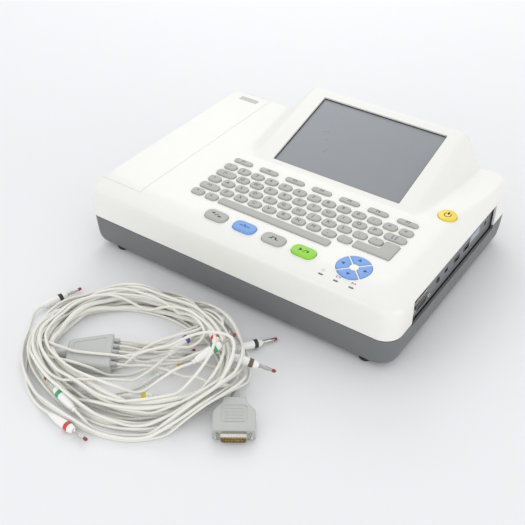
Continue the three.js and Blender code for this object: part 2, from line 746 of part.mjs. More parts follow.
// ---------------------------------------------------------------- assembly
part("upper_case", upperCase(), finishes.shell);
part("lower_case", lowerCase(), finishes.base);
recorder();
keyboard();
display();
electronics();
connectors();
feet();
patientCable();

export default machine;
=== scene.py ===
"""The looks of the desktop electrocardiograph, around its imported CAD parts.

Sizes below are in millimetres, in the part's own frame. Vertices are turned into metres as meshes are made.
"""
import json
import math

import bmesh
import bpy
import numpy as np
from mathutils import Matrix, Vector


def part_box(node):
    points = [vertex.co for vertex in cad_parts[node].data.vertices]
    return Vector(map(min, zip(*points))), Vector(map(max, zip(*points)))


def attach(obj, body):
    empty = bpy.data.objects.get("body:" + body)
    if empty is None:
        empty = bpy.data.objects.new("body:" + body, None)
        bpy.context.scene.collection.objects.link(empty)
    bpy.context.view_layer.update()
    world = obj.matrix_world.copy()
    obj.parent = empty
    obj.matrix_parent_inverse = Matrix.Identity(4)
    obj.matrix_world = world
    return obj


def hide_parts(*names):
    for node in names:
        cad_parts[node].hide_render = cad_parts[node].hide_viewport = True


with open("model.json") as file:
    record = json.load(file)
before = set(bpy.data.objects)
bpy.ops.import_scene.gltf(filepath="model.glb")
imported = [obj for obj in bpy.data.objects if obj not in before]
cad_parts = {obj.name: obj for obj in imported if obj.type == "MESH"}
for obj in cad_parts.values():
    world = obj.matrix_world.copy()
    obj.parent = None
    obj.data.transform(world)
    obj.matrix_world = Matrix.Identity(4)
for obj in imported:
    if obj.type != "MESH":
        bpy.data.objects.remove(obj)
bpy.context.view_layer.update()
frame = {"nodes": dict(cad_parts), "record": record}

MM = 0.001


def box_mm(node):
    """The lowest and highest corners of a CAD node, in millimetres."""
    low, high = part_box(node)
    return np.array(low) / MM, np.array(high) / MM


# ------------------------------------------------------------------ driving dimensions
CASE_LOW, CASE_HIGH = box_mm("lower_case")
HALF_WIDTH, HALF_DEPTH = CASE_HIGH[0], CASE_HIGH[1]
BASE_BOTTOM = CASE_LOW[2]
CORNERS = (8, 20, 18, 12)  # radii: front left, front right, back right, back left
WALL = 2.5
SEAM = 43
DECK = 87

KEY_PITCH = 19.05
KEY_WIDTH, KEY_DEPTH = 15.6, 11
KEY_GRID_LEFT = -92.4
ROW_Y = [sum(end[1] for end in box_mm(f"key_row_{n}")) / 2 for n in range(1, 6)]

TILT = math.radians(15.1)
HUMP_FRONT = 8.65
SCREEN = {"x": 30.9, "y": 15.7, "width": 167.3, "length": 120.1}

# ------------------------------------------------------------------ camera, light and floor
CAMERA_AT = Vector((0.4397, -0.7316, 0.6328))
CAMERA_RIGHT = Vector((0.8249, 0.5653, 0.0073))
CAMERA_UP = Vector((-0.3534, 0.5055, 0.7871))
CAMERA_BACK = Vector((0.4413, -0.6518, 0.6167))


def make_camera():
    data = bpy.data.cameras.new("camera")
    data.lens = 60.14
    data.sensor_width = 36
    camera = bpy.data.objects.new("camera", data)
    axes = Matrix((CAMERA_RIGHT, CAMERA_UP, CAMERA_BACK)).transposed()
    camera.matrix_world = Matrix.Translation(CAMERA_AT) @ axes.to_4x4()
    bpy.context.scene.collection.objects.link(camera)
    bpy.context.scene.camera = camera


def area_light(name, at, towards, size, watts, colour=(1, 1, 1)):
    data = bpy.data.lights.new(name, "AREA")
    data.shape = "RECTANGLE"
    data.size, data.size_y = size
    data.energy = watts
    data.color = colour
    light = bpy.data.objects.new(name, data)
    light.location = at
    light.rotation_mode = "QUATERNION"
    light.rotation_quaternion = (Vector(towards) - Vector(at)).to_track_quat("-Z", "Y")
    bpy.context.scene.collection.objects.link(light)


def make_studio():
    scene = bpy.context.scene
    scene.view_settings.view_transform = "Standard"
    world = bpy.data.worlds.new("studio")
    world.use_nodes = True
    world.node_tree.nodes["Background"].inputs["Color"].default_value = (0.985, 0.99, 1.0, 1)
    world.node_tree.nodes["Background"].inputs["Strength"].default_value = 0.88
    scene.world = world
    area_light("overhead", (-0.5, 0.35, 1.4), (-0.1, 0.05, 0), (1.2, 1.0), 0.6)
    area_light("front_fill", (-0.3, -1.5, 0.55), (0, -0.1, 0.05), (1.4, 0.7), 3.6)
    area_light("right_fill", (1.5, -0.2, 0.4), (0.1, 0, 0), (1.0, 0.6), 3.2)
    area_light("backdrop", (-0.9, 1.5, 1.3), (-0.7, 1.3, 0), (1.4, 1.2), 10)

    mesh = bpy.data.meshes.new("floor")
    reach = 6
    mesh.from_pydata([(-reach, -reach, 0), (reach, -reach, 0), (reach, reach, 0), (-reach, reach, 0)], [],
                     [(0, 1, 2, 3)])
    floor = bpy.data.objects.new("floor", mesh)
    floor.location.z = -0.0002
    floor.data.materials.append(FLOOR)
    scene.collection.objects.link(floor)


# ------------------------------------------------------------------ materials
class Nodes:
    """A material's node tree, with short calls for the nodes that the materials here use."""

    def __init__(self, name):
        self.material = bpy.data.materials.new(name)
        self.material.use_nodes = True
        self.tree = self.material.node_tree
        self.shader = self.tree.nodes["Principled BSDF"]
        self.place = self.add("ShaderNodeTexCoord").outputs["Object"]

    def add(self, kind, **settings):
        node = self.tree.nodes.new(kind)
        for key, value in settings.items():
            setattr(node, key, value)
        return node

    def link(self, output, node, socket):
        self.tree.links.new(output, node.inputs[socket])

    def noise(self, scale, detail=3, roughness=0.55, place=None):
        node = self.add("ShaderNodeTexNoise")
        node.inputs["Scale"].default_value = scale
        node.inputs["Detail"].default_value = detail
        node.inputs["Roughness"].default_value = roughness
        self.link(place or self.place, node, "Vector")
        return node.outputs["Fac"]

    def spread(self, value, low, high, start=0.3, end=0.7):
        """A 0 to 1 value, stretched so that start to end becomes low to high."""
        node = self.add("ShaderNodeMapRange")
        for socket, number in (("From Min", start), ("From Max", end), ("To Min", low), ("To Max", high)):
            node.inputs[socket].default_value = number
        self.link(value, node, "Value")
        return node.outputs["Result"]

    def blend(self, share, first, second):
        """A colour between two, each a colour or another node's output."""
        node = self.add("ShaderNodeMix", data_type="RGBA")
        self.link(share, node, 0)
        for socket, colour in ((6, first), (7, second)):
            if isinstance(colour, tuple):
                node.inputs[socket].default_value = (*colour, 1)
            else:
                self.link(colour, node, socket)
        return node.outputs[2]

    def bump(self, height, strength, distance):
        node = self.add("ShaderNodeBump")
        node.inputs["Strength"].default_value = strength
        node.inputs["Distance"].default_value = distance
        self.link(height, node, "Height")
        self.link(node.outputs["Normal"], self.shader, "Normal")


def shaded(colour, by):
    return tuple(min(1.0, channel * by) for channel in colour)


def moulded(name, colour, roughness, mottle=0.03, grain=900, depth=0.00003, coat=0.0):
    """Moulded plastic or rubber: faint mottling, uneven gloss and a fine grain."""
    n = Nodes(name)
    cloudy = n.noise(14, detail=4)
    n.link(n.blend(cloudy, shaded(colour, 1 - mottle), shaded(colour, 1 + mottle)), n.shader, "Base Color")
    n.link(n.spread(n.noise(60), roughness * 0.88, roughness * 1.12), n.shader, "Roughness")
    n.shader.inputs["Coat Weight"].default_value = coat
    n.bump(n.noise(grain, detail=2), 0.5, depth)
    return n.material


def metal(name, colour, roughness, brushed=(400, 400, 400)):
    """Plated or turned metal with a fine grain, as from brushing."""
    n = Nodes(name)
    mapping = n.add("ShaderNodeMapping")
    mapping.inputs["Scale"].default_value = brushed
    n.link(n.place, mapping, "Vector")
    lines = n.noise(1, detail=4, place=mapping.outputs["Vector"])
    n.link(n.blend(lines, shaded(colour, 0.88), shaded(colour, 1.08)), n.shader, "Base Color")
    n.link(n.spread(lines, roughness * 0.75, roughness * 1.3), n.shader, "Roughness")
    n.shader.inputs["Metallic"].default_value = 1
    n.bump(lines, 0.25, 0.00002)
    return n.material


def circuit_board():
    """Green solder mask with the faint squares of copper areas under it."""
    n = Nodes("circuit_board")
    cells = n.add("ShaderNodeTexVoronoi", distance="CHEBYCHEV")
    cells.inputs["Scale"].default_value = 140
    n.link(n.place, cells, "Vector")
    tracks = n.spread(cells.outputs["Distance"], 0, 1, 0.25, 0.3)
    n.link(n.blend(tracks, (0.02, 0.17, 0.07), (0.012, 0.1, 0.045)), n.shader, "Base Color")
    n.shader.inputs["Roughness"].default_value = 0.32
    n.bump(tracks, 0.4, 0.00004)
    return n.material


def chart_paper():
    """Thermal chart paper: a pale pink grid of 1 mm squares with a stronger line every 5 mm."""
    n = Nodes("chart_paper")
    paper, thin, thick = (0.86, 0.83, 0.79), (0.86, 0.66, 0.62), (0.8, 0.42, 0.4)
    colour = paper
    for spacing, width, ink in ((1, 0.12, thin), (5, 0.2, thick)):
        brick = n.add("ShaderNodeTexBrick", offset=0, squash=1)
        brick.inputs["Scale"].default_value = 1000
        brick.inputs["Mortar Size"].default_value = width / 2
        brick.inputs["Mortar Smooth"].default_value = 0.1
        brick.inputs["Brick Width"].default_value = spacing
        brick.inputs["Row Height"].default_value = spacing
        n.link(n.place, brick, "Vector")
        colour = n.blend(brick.outputs["Fac"], colour, ink)
    n.link(colour, n.shader, "Base Color")
    n.link(n.spread(n.noise(300), 0.6, 0.8), n.shader, "Roughness")
    n.bump(n.noise(1500), 0.3, 0.00002)
    return n.material


def screen_film_painted_reflection():
    """The switched-off display behind an anti-glare film. Its light grey-blue colour is painted reflection of
    the bright studio.
    """
    n = Nodes("screen_film_painted_reflection")
    # Painted reflection: these grey-blue tones stand in for the studio mirrored in the display.
    n.link(n.blend(n.noise(9, detail=2), (0.24, 0.255, 0.27), (0.27, 0.29, 0.31)), n.shader, "Base Color")
    n.link(n.spread(n.noise(40), 0.27, 0.33), n.shader, "Roughness")
    n.shader.inputs["Coat Weight"].default_value = 0.25
    n.shader.inputs["Coat Roughness"].default_value = 0.2
    n.bump(n.noise(900, detail=1), 0.1, 0.000005)
    return n.material


def shrink_film():
    n = Nodes("battery_wrap")
    n.link(n.blend(n.noise(30), (0.02, 0.07, 0.24), (0.035, 0.11, 0.34)), n.shader, "Base Color")
    n.link(n.spread(n.noise(80), 0.2, 0.4), n.shader, "Roughness")
    n.bump(n.noise(120, detail=1), 0.5, 0.0003)
    return n.material


SHELL = moulded("shell_white", (0.85, 0.845, 0.805), 0.36, mottle=0.012, coat=0.08)
BASE = moulded("base_grey", (0.158, 0.166, 0.17), 0.5, mottle=0.05, grain=1400, depth=0.00008)
PANEL = moulded("panel_grey", (0.165, 0.175, 0.183), 0.5, mottle=0.05, grain=1400, depth=0.00006)
SEAM_SHADE = moulded("seam_shade", (0.05, 0.053, 0.056), 0.7, mottle=0.1)
KEY_GREY = moulded("key_grey", (0.44, 0.445, 0.42), 0.5, mottle=0.03, grain=2200)
KEY_BLUE = moulded("key_blue", (0.18, 0.36, 0.74), 0.45, mottle=0.03, grain=2200)
KEY_GREEN = moulded("key_green", (0.29, 0.66, 0.05), 0.45, mottle=0.03, grain=2200)
KEY_YELLOW = moulded("key_yellow", (0.87, 0.66, 0.03), 0.35, mottle=0.02, coat=0.2)
INK = moulded("legend_ink", (0.02, 0.021, 0.023), 0.6, mottle=0.1)
INK_BLUE = moulded("legend_ink_blue", (0.02, 0.05, 0.26), 0.6, mottle=0.1)
RUBBER = moulded("rubber_black", (0.028, 0.028, 0.03), 0.8, mottle=0.15, grain=700, depth=0.0001)
BLACK = moulded("black_plastic", (0.022, 0.022, 0.024), 0.5, mottle=0.1)
GEAR = moulded("gear_plastic", (0.76, 0.74, 0.68), 0.45)
CORD = moulded("cable_grey", (0.82, 0.815, 0.755), 0.42, mottle=0.03, grain=1200, depth=0.00004)
HOOD_LOOK = moulded("hood_grey", (0.5, 0.51, 0.49), 0.45, mottle=0.03, grain=1600, depth=0.00006)
PLUG_LOOK = moulded("plug_white", (0.87, 0.87, 0.84), 0.3, mottle=0.015, coat=0.15)
INSULATOR = moulded("insulator", (0.66, 0.53, 0.28), 0.5)
CARD = moulded("core_card", (0.42, 0.31, 0.2), 0.8, mottle=0.1, grain=1500, depth=0.00008)
CERAMIC = moulded("head_ceramic", (0.62, 0.6, 0.54), 0.3, mottle=0.02)
BADGE = moulded("badge_grey", (0.5, 0.51, 0.5), 0.35, mottle=0.03)
SYMBOL_INK = moulded("symbol_ink", (0.42, 0.43, 0.43), 0.6)
LABEL = moulded("label_blank", (0.36, 0.39, 0.43), 0.4, mottle=0.04)
LENS = moulded("lens_smoke", (0.16, 0.17, 0.16), 0.2, mottle=0.05, coat=0.5)
FLOOR = moulded("floor_paper", (0.83, 0.835, 0.85), 0.75, mottle=0.004, depth=0.00001)
STEEL = metal("plated_steel", (0.62, 0.62, 0.6), 0.28)
NICKEL = metal("nickel", (0.55, 0.54, 0.5), 0.2, brushed=(900, 900, 900))
GOLD = metal("gilt_contact", (0.83, 0.6, 0.22), 0.22, brushed=(900, 900, 900))
BOARD = circuit_board()
PAPER = chart_paper()
SCREEN_FILM_PAINTED_REFLECTION = screen_film_painted_reflection()
BATTERY = shrink_film()
RINGS = {
    "red": moulded("ring_red", (0.62, 0.05, 0.04), 0.4),
    "yellow": moulded("ring_yellow", (0.78, 0.62, 0.06), 0.4),
    "green": moulded("ring_green", (0.05, 0.36, 0.16), 0.4),
    "black": moulded("ring_black", (0.025, 0.025, 0.025), 0.4),
    "brown": moulded("ring_brown", (0.16, 0.1, 0.07), 0.4),
    "violet": moulded("ring_violet", (0.2, 0.1, 0.36), 0.4),
    "pin_red": moulded("pin_red", (0.3, 0.04, 0.035), 0.35),
}

# What each record slot looks like on the CAD nodes that stay as they are.
SLOT_LOOKS = {
    "shell_white": SHELL, "base_grey": BASE, "panel_grey": PANEL, "key_grey": KEY_GREY, "key_blue": KEY_BLUE,
    "key_green": KEY_GREEN, "key_yellow": KEY_YELLOW, "screen": SCREEN_FILM_PAINTED_REFLECTION, "rubber_black": RUBBER,
    "black_plastic": BLACK, "circuit_board": BOARD, "plated_steel": STEEL, "gear_plastic": GEAR,
    "chart_paper": PAPER, "battery_wrap": BATTERY, "cable_grey": CORD, "plug_white": PLUG_LOOK,
}
NODE_SLOT = {s["node"]: s["material_slot"] for s in frame["record"]["subparts"]}


def paint_cad_nodes():
    for name, node in frame["nodes"].items():
        node.data.materials.clear()
        node.data.materials.append(SLOT_LOOKS[NODE_SLOT[name]])


# ------------------------------------------------------------------ mesh helpers
def smooth(mesh, sharp=40):
    mesh.polygons.foreach_set("use_smooth", [True] * len(mesh.polygons))
    mesh.set_sharp_from_angle(angle=math.radians(sharp))
    mesh.update()


def new_mesh_object(name, vertices, faces):
    """An object from vertices in millimetres."""
    mesh = bpy.data.meshes.new(name)
    mesh.from_pydata((np.asarray(vertices, float) * MM).tolist(), [], faces)
    mesh.update()
    obj = bpy.data.objects.new(name, mesh)
    bpy.context.scene.collection.objects.link(obj)
    return obj


def from_bmesh(name, bm):
    mesh = bpy.data.meshes.new(name)
    bm.to_mesh(mesh)
    bm.free()
    obj = bpy.data.objects.new(name, mesh)
    bpy.context.scene.collection.objects.link(obj)
    return obj


def piece(obj, material, body, slot=None, nodes=(), sharp=40):
    """Gives an object its material, shading and body, and hides the CAD nodes that it stands for. Its slot is
    not used.
    """
    if obj.type == "MESH":
        smooth(obj.data, sharp)
    obj.data.materials.clear()
    obj.data.materials.append(material)
    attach(obj, body)
    if nodes:
        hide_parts(*nodes)
    return obj


def apply_modifiers(obj):
    graph = bpy.context.evaluated_depsgraph_get()
    mesh = bpy.data.meshes.new_from_object(obj.evaluated_get(graph))
    old = obj.data
    obj.modifiers.clear()
    obj.data = mesh
    bpy.data.meshes.remove(old)
    return obj


def boolean(obj, other, operation="DIFFERENCE"):
    modifier = obj.modifiers.new("cut", "BOOLEAN")
    modifier.operation = operation
    modifier.object = other
    modifier.solver = "MANIFOLD"
    apply_modifiers(obj)
    bpy.data.objects.remove(other)
    return obj


def bevelled(obj, width, segments=2, angle=30):
    modifier = obj.modifiers.new("edges", "BEVEL")
    modifier.width = width * MM
    modifier.segments = segments
    modifier.limit_method = "ANGLE"
    modifier.angle_limit = math.radians(angle)
    return apply_modifiers(obj)


def joined(name, objects):
    """One object from several."""
    bm = bmesh.new()
    for obj in objects:
        start = len(bm.verts)
        bm.from_mesh(obj.data)
        bm.verts.ensure_lookup_table()
        bmesh.ops.transform(bm, matrix=obj.matrix_world, verts=bm.verts[start:])
        bpy.data.objects.remove(obj)
    return from_bmesh(name, bm)


def block(x, y, z, name="block"):
    corners = [(x[i], y[j], z[k]) for k in (0, 1) for j in (0, 1) for i in (0, 1)]
    faces = [(0, 2, 3, 1), (4, 5, 7, 6), (0, 1, 5, 4), (1, 3, 7, 5), (3, 2, 6, 7), (2, 0, 4, 6)]
    return new_mesh_object(name, corners, faces)


def prism(outline, z0, z1, name="prism"):
    """An upright prism over a closed outline that runs anticlockwise."""
    count = len(outline)
    vertices = [(x, y, z) for z in (z0, z1) for x, y in outline]
    sides = [(i, (i + 1) % count, count + (i + 1) % count, count + i) for i in range(count)]
    bottom = tuple(reversed(range(count)))
    return new_mesh_object(name, vertices, [*sides, bottom, tuple(range(count, 2 * count))])


def ring_faces(rings, rim):
    """The faces between closed rings of vertices that are numbered one ring after another."""
    return [(n * rim + i, n * rim + (i + 1) % rim, (n + 1) * rim + (i + 1) % rim, (n + 1) * rim + i)
            for n in range(rings - 1) for i in range(rim)]


def turned(profile, name="turned", sides=32):
    """A solid of revolution about Z from (radius, z) pairs, which start and end on the axis."""
    rings = profile[1:-1]
    angles = np.linspace(0, 2 * math.pi, sides, endpoint=False)
    vertices = [(r * math.cos(a), r * math.sin(a), z) for r, z in rings for a in angles]
    vertices += [(0, 0, profile[0][1]), (0, 0, profile[-1][1])]
    faces = ring_faces(len(rings), sides)
    last = (len(rings) - 1) * sides
    faces += [((i + 1) % sides, i, len(vertices) - 2) for i in range(sides)]
    faces += [(last + i, last + (i + 1) % sides, len(vertices) - 1) for i in range(sides)]
    return new_mesh_object(name, vertices, faces)


SIDEWAYS = Matrix(((0, 0, 1, 0), (1, 0, 0, 0), (0, 1, 0, 0), (0, 0, 0, 1)))  # takes Z to X, and X to Y


def placed(obj, at=(0, 0, 0), turn=(0, 0, 0)):
    """Turns an object about X, Y and Z, in degrees, and moves it by millimetres. Its mesh takes the move."""
    matrix = Matrix.Translation(Vector(at) * MM)
    for axis, angle in zip("ZYX", reversed(turn)):
        matrix = matrix @ Matrix.Rotation(math.radians(angle), 4, axis)
    obj.data.transform(matrix)
    return obj


def rounded_rectangle(x, y, width, depth, radius, steps=5):
    points = []
    for quarter, (sx, sy) in enumerate(((1, 1), (-1, 1), (-1, -1), (1, -1))):
        cx, cy = x + sx * (width / 2 - radius), y + sy * (depth / 2 - radius)
        for angle in np.linspace(quarter * 90, quarter * 90 + 90, steps + 1):
            turn = math.radians(angle)
            points.append((cx + radius * math.cos(turn), cy + radius * math.sin(turn)))
    return points


def circle(x, y, radius, steps=40):
    return [(x + radius * math.cos(a), y + radius * math.sin(a))
            for a in np.linspace(0, 2 * math.pi, steps, endpoint=False)]


# ------------------------------------------------------------------ the console's surface
ARC_STEPS = 8  # in half a corner
LONG_STEPS, SHORT_STEPS = 170, 124  # along the front and back, and along the sides

# Height, then how far the left, right, front and back have drawn in by there.
UPPER_LEVELS = [
    (43.3, 0, 0, 0, 0), (44, 0, 0, 0.05, 0), (60, 0.2, 0.2, 0.7, 0.3), (72, 0.5, 0.5, 1.5, 0.8),
    (76, 0.7, 1.6, 2.1, 1.2), (78.4, 0.9, 3.2, 2.9, 1.7), (80, 1.1, 5.0, 4.2, 2.2),
    (81.5, 1.4, 7.3, 6.8, 2.9), (83, 1.8, 10.2, 10.2, 3.9), (84.4, 2.4, 13.6, 14.4, 5.2),
    (85.5, 3.1, 17, 18.8, 6.6), (86.3, 3.8, 20.4, 23, 8), (86.8, 4.5, 23.8, 27.4, 9.2),
    (87, 5.2, 28, 32.5, 10.6),
]
# Height, then how far in the lower case's walls are: outside, up to the groove of the seam, and inside.
LOWER_LEVELS = [
    (4.8, 10.5), (4.9, 8.8), (5.5, 7), (6.8, 5.2), (8.8, 3.8), (11.6, 2.6), (15, 1.8), (20, 1.2), (30, 0.5),
    (41.9, 0), (42.1, 0.1), (42.2, 0.8), (43, 0.8),
]
TRAY_LEVELS = [(7.3, 13), (8.4, 9), (10.5, 6.8), (14, 5), (20, 3.9), (30, 3.1), (60, 2.6)]
HUMP_EDGES = (-75, 134)
HUMP_SPAN = HALF_DEPTH - HUMP_FRONT
HUMP_TOP_LEVELS = 0.32  # what the hump's back edge keeps of the deck's rounding


def side_points(k, insets):
    """Side k of the outline, from the middle of one corner's arc to the middle of the next."""
    left, right, front, back = insets
    xs = (-HALF_WIDTH + left, HALF_WIDTH - right)
    ys = (-HALF_DEPTH + front, HALF_DEPTH - back)
    signs = ((0, 0), (1, 0), (1, 1), (0, 1))
    normal = math.radians((-90, 0, 90, 180)[k])
    ends = []
    for corner, span in ((k, (-45, 0)), ((k + 1) % 4, (0, 45))):
        i, j = signs[corner]
        radius = CORNERS[corner]
        centre = np.array((xs[i] + radius * (1 - 2 * i), ys[j] + radius * (1 - 2 * j)))
        angles = normal + np.radians(np.linspace(*span, ARC_STEPS + 1))
        ends.append(centre + radius * np.stack([np.cos(angles), np.sin(angles)], 1))
    steps = LONG_STEPS if k % 2 == 0 else SHORT_STEPS
    share = np.linspace(0, 1, steps + 1)[1:-1, None]
    straight = ends[0][-1] * (1 - share) + ends[1][0] * share
    return np.concatenate([ends[0], straight, ends[1]])


def outline(insets):
    """The console's outline, as one closed run of (x, y) points."""
    return np.concatenate([side_points(k, insets)[:-1] for k in range(4)])


def filled(insets):
    """A grid of (x, y) points that fills the outline: rows run from front to back."""
    front, right, back, left = (side_points(k, insets) for k in range(4))
    back, left = back[::-1], left[::-1]
    s = np.linspace(0, 1, len(front))[:, None, None]
    t = np.linspace(0, 1, len(right))[None, :, None]
    across = (1 - t) * front[:, None] + t * back[:, None]
    along = (1 - s) * left[None] + s * right[None]
    corners = ((1 - s) * (1 - t) * front[0] + s * (1 - t) * front[-1]
               + (1 - s) * t * back[0] + s * t * back[-1])
    return across + along - corners


def soft_min(a, b, k):
    share = np.clip(0.5 + 0.5 * (b - a) / k, 0, 1)
    return b * (1 - share) + a * share - k * share * (1 - share)


def hump(x, y):
    """How far the display's housing stands above the deck at (x, y)."""
    rise = (y - HUMP_FRONT) * math.tan(TILT)
    back = np.clip((y - HUMP_FRONT) / HUMP_SPAN, 0, 1)
    steep = np.clip(rise / 36, 0.02, 1)
    left_foot, right_foot = -86 - 20 * back, 141 + 13 * back
    left = rise * (x - left_foot) / (HUMP_EDGES[0] - left_foot)
    right = rise * (right_foot - x) / (right_foot - HUMP_EDGES[1])
    top = soft_min(soft_min(rise, left, 3.4 * steep), right, 8 * steep)
    foot = 0.9 + np.clip(rise / 22, 0, 1) * np.where(x > SCREEN["x"], 9, 5)
    return -soft_min(-top, np.zeros_like(top), foot)


def smooth_step(value, start, end):
    share = np.clip((value - start) / (end - start), 0, 1)
    return share * share * (3 - 2 * share)


def shouldered(points, right, back):
    """Squares off the deck's right rear: its roll-offs fade towards that corner."""
    x, y = points[:, 0], points[:, 1]
    wider = 0.72 * right * smooth_step(y, 10, 105) * smooth_step(x, 40, HALF_WIDTH - right)
    deeper = 0.75 * back * smooth_step(x, 120, 165) * smooth_step(y, 60, HALF_DEPTH - back)
    return np.stack([x + wider, y + deeper], 1)


def index_on_rim(i, j, across, along):
    if j == 0 and i < across:
        return i
    if i == across and j < along:
        return across + j
    if j == along and i > 0:
        return across + along + (across - i)
    return 2 * across + along + (along - j)


def upper_ring(level, inward, lowest):
    """The upper case's outline at one level, with the hump's rise, drawn in by a distance."""
    z, left, right, front, back = level
    flat = outline((left + inward, right + inward, front + inward, back + inward))
    flat = shouldered(flat, right, back)
    raised = np.clip(hump(flat[:, 0], np.full(len(flat), HALF_DEPTH - back)) / 20, 0, 1)
    behind = np.clip((flat[:, 1] - HUMP_FRONT) / 60, 0, 1)
    flat[:, 1] += back * (1 - HUMP_TOP_LEVELS) * raised * behind * (flat[:, 1] > HALF_DEPTH - 14 - back)
    climb = np.clip((z - SEAM) / (72 - SEAM), 0, 1)
    height = z + climb * hump(flat[:, 0], flat[:, 1]) - (2 * inward if lowest else inward)
    return np.column_stack([flat, height])


def deck_grid(inward, last_ring):
    """The deck's points. They shift with the last ring at the back, less and less towards the front."""
    _, _, right, _, back = UPPER_LEVELS[-1]
    grid = filled([inset + inward for inset in UPPER_LEVELS[-1][1:]])
    across, along = grid.shape[0] - 1, grid.shape[1] - 1
    grid = shouldered(grid.reshape(-1, 2), right, back).reshape(grid.shape)
    shift = np.zeros((across + 1, along + 1))
    for i in range(across + 1):
        shift[i, :] = last_ring[index_on_rim(i, along, across, along)][1] - grid[i, along, 1]
    share = np.clip((grid[:, :, 1] - 90) / (grid[:, -1:, 1] - 90), 0, 1) ** 2
    grid[:, :, 1] += shift * share
    return grid


def upper_solid(name, inward=0.0):
    """The upper case's outer form as a closed solid, drawn in by a distance, with a flat underside."""
    rings = [upper_ring(level, inward, n == 0) for n, level in enumerate(UPPER_LEVELS)]
    rim = len(rings[0])
    grid = deck_grid(inward, rings[-1])
    across, along = grid.shape[0] - 1, grid.shape[1] - 1
    numbers = np.empty((across + 1, along + 1), int)
    inner = []
    for i in range(across + 1):
        for j in range(along + 1):
            if i in (0, across) or j in (0, along):
                numbers[i, j] = (len(rings) - 1) * rim + index_on_rim(i, j, across, along)
            else:
                numbers[i, j] = len(rings) * rim + len(inner)
                inner.append(grid[i, j])
    inner = np.array(inner)
    heights = UPPER_LEVELS[-1][0] + hump(inner[:, 0], inner[:, 1]) - inward
    vertices = np.concatenate([*rings, np.column_stack([inner, heights])])
    faces = ring_faces(len(rings), rim)
    faces += [(numbers[i, j], numbers[i + 1, j], numbers[i + 1, j + 1], numbers[i, j + 1])
              for i in range(across) for j in range(along)]
    faces.append(tuple(reversed(range(rim))))
    return new_mesh_object(name, vertices, [tuple(int(v) for v in face) for face in faces])


# ------------------------------------------------------------------ upper case and lid
def key_outline_prisms(more):
    """Every key's outline as an upright prism, wider by some slack."""
    return [prism(shape(more), DECK - 12, DECK + 6, "key_cutter") for shape in ALL_KEY_SHAPES]


LID = {"left": -HALF_WIDTH, "right": -137.0, "front": -126, "back": 136, "slack": 0.4}
RECESS = {"x": 193.5, "front": -105, "back": 102, "ledge": 38.5, "top": 72}
INLET = {"x": 130, "z": 58, "width": 28, "height": 20.6}
EARTH = {"x": 88, "z": 58, "radius": 8}


def screen_prism(width, length, radius, low, high, name="screen"):
    """A prism on the display's slope, from low to high above it."""
    shape = rounded_rectangle(0, SCREEN["length"] / 2, width, length, radius)
    obj = prism(shape, low, high, name)
    height = DECK + (SCREEN["y"] - HUMP_FRONT) * math.tan(TILT)
    return placed(obj, (SCREEN["x"], SCREEN["y"], height), (math.degrees(TILT), 0, 0))


def upright_on_side(outline_yz, x0, x1, name="on_side"):
    """A prism that runs along X from an outline in Y and Z."""
    obj = prism(outline_yz, x0, x1, name)
    obj.data.transform(SIDEWAYS)
    return obj


def upper_case():
    outer = upper_solid("upper_case_shell")
    boolean(outer, upper_solid("inside", WALL))
    cutters = key_outline_prisms(0.45)
    cutters.append(screen_prism(SCREEN["width"], SCREEN["length"], 1.5, -20, 20))
    slack = LID["slack"]
    lid_y = (LID["front"] - slack, LID["back"] + slack)
    cutters.append(block((-210, LID["right"] + slack), lid_y, (77.2, 100)))
    cutters.append(block((-210, -191), (-136, LID["front"]), (76.4, 80.5)))
    cutters.append(upright_on_side(
        rounded_rectangle((RECESS["front"] + RECESS["back"]) / 2, RECESS["top"] - 30,
                          RECESS["back"] - RECESS["front"], 60, 3), RECESS["x"], 210))
    cutters.append(block((INLET["x"] - INLET["width"] / 2, INLET["x"] + INLET["width"] / 2), (130, 160),
                         (INLET["z"] - INLET["height"] / 2, INLET["z"] + INLET["height"] / 2)))
    hole = prism(circle(0, 0, EARTH["radius"]), 0, 30)
    cutters.append(placed(hole, (EARTH["x"], 130, EARTH["z"]), (-90, 0, 0)))
    boolean(outer, joined("cutters", cutters))
    piece(outer, SHELL, "console", "shell_white", ["upper_case"], sharp=34)


def recorder_lid():
    slab = upper_solid("recorder_lid_cover")
    keep = block((-205, LID["right"]), (LID["front"], LID["back"]), (84, 100), "keep")
    skirt_keep = block((-205, -193.6), (LID["front"], LID["back"]), (79.6, 100))
    skirt = slab.copy()
    skirt.data = slab.data.copy()
    bpy.context.scene.collection.objects.link(skirt)
    boolean(slab, keep, "INTERSECT")
    boolean(skirt, skirt_keep, "INTERSECT")
    boolean(slab, skirt, "UNION")
    ribs = [block((-190.5, -141), (y - 0.6, y + 0.6), (81.5, 84.2)) for y in (-117, 40, 125)]
    boolean(slab, joined("ribs", ribs), "UNION")
    piece(slab, SHELL, "lid", "shell_white", ["recorder_lid"], sharp=34)


# ------------------------------------------------------------------ keys
def column_x(column):
    return KEY_GRID_LEFT + column * KEY_PITCH


def pill(x, y, width, depth, radius):
    return lambda more=0: rounded_rectangle(x, y, width + 2 * more, depth + 2 * more, radius + more)


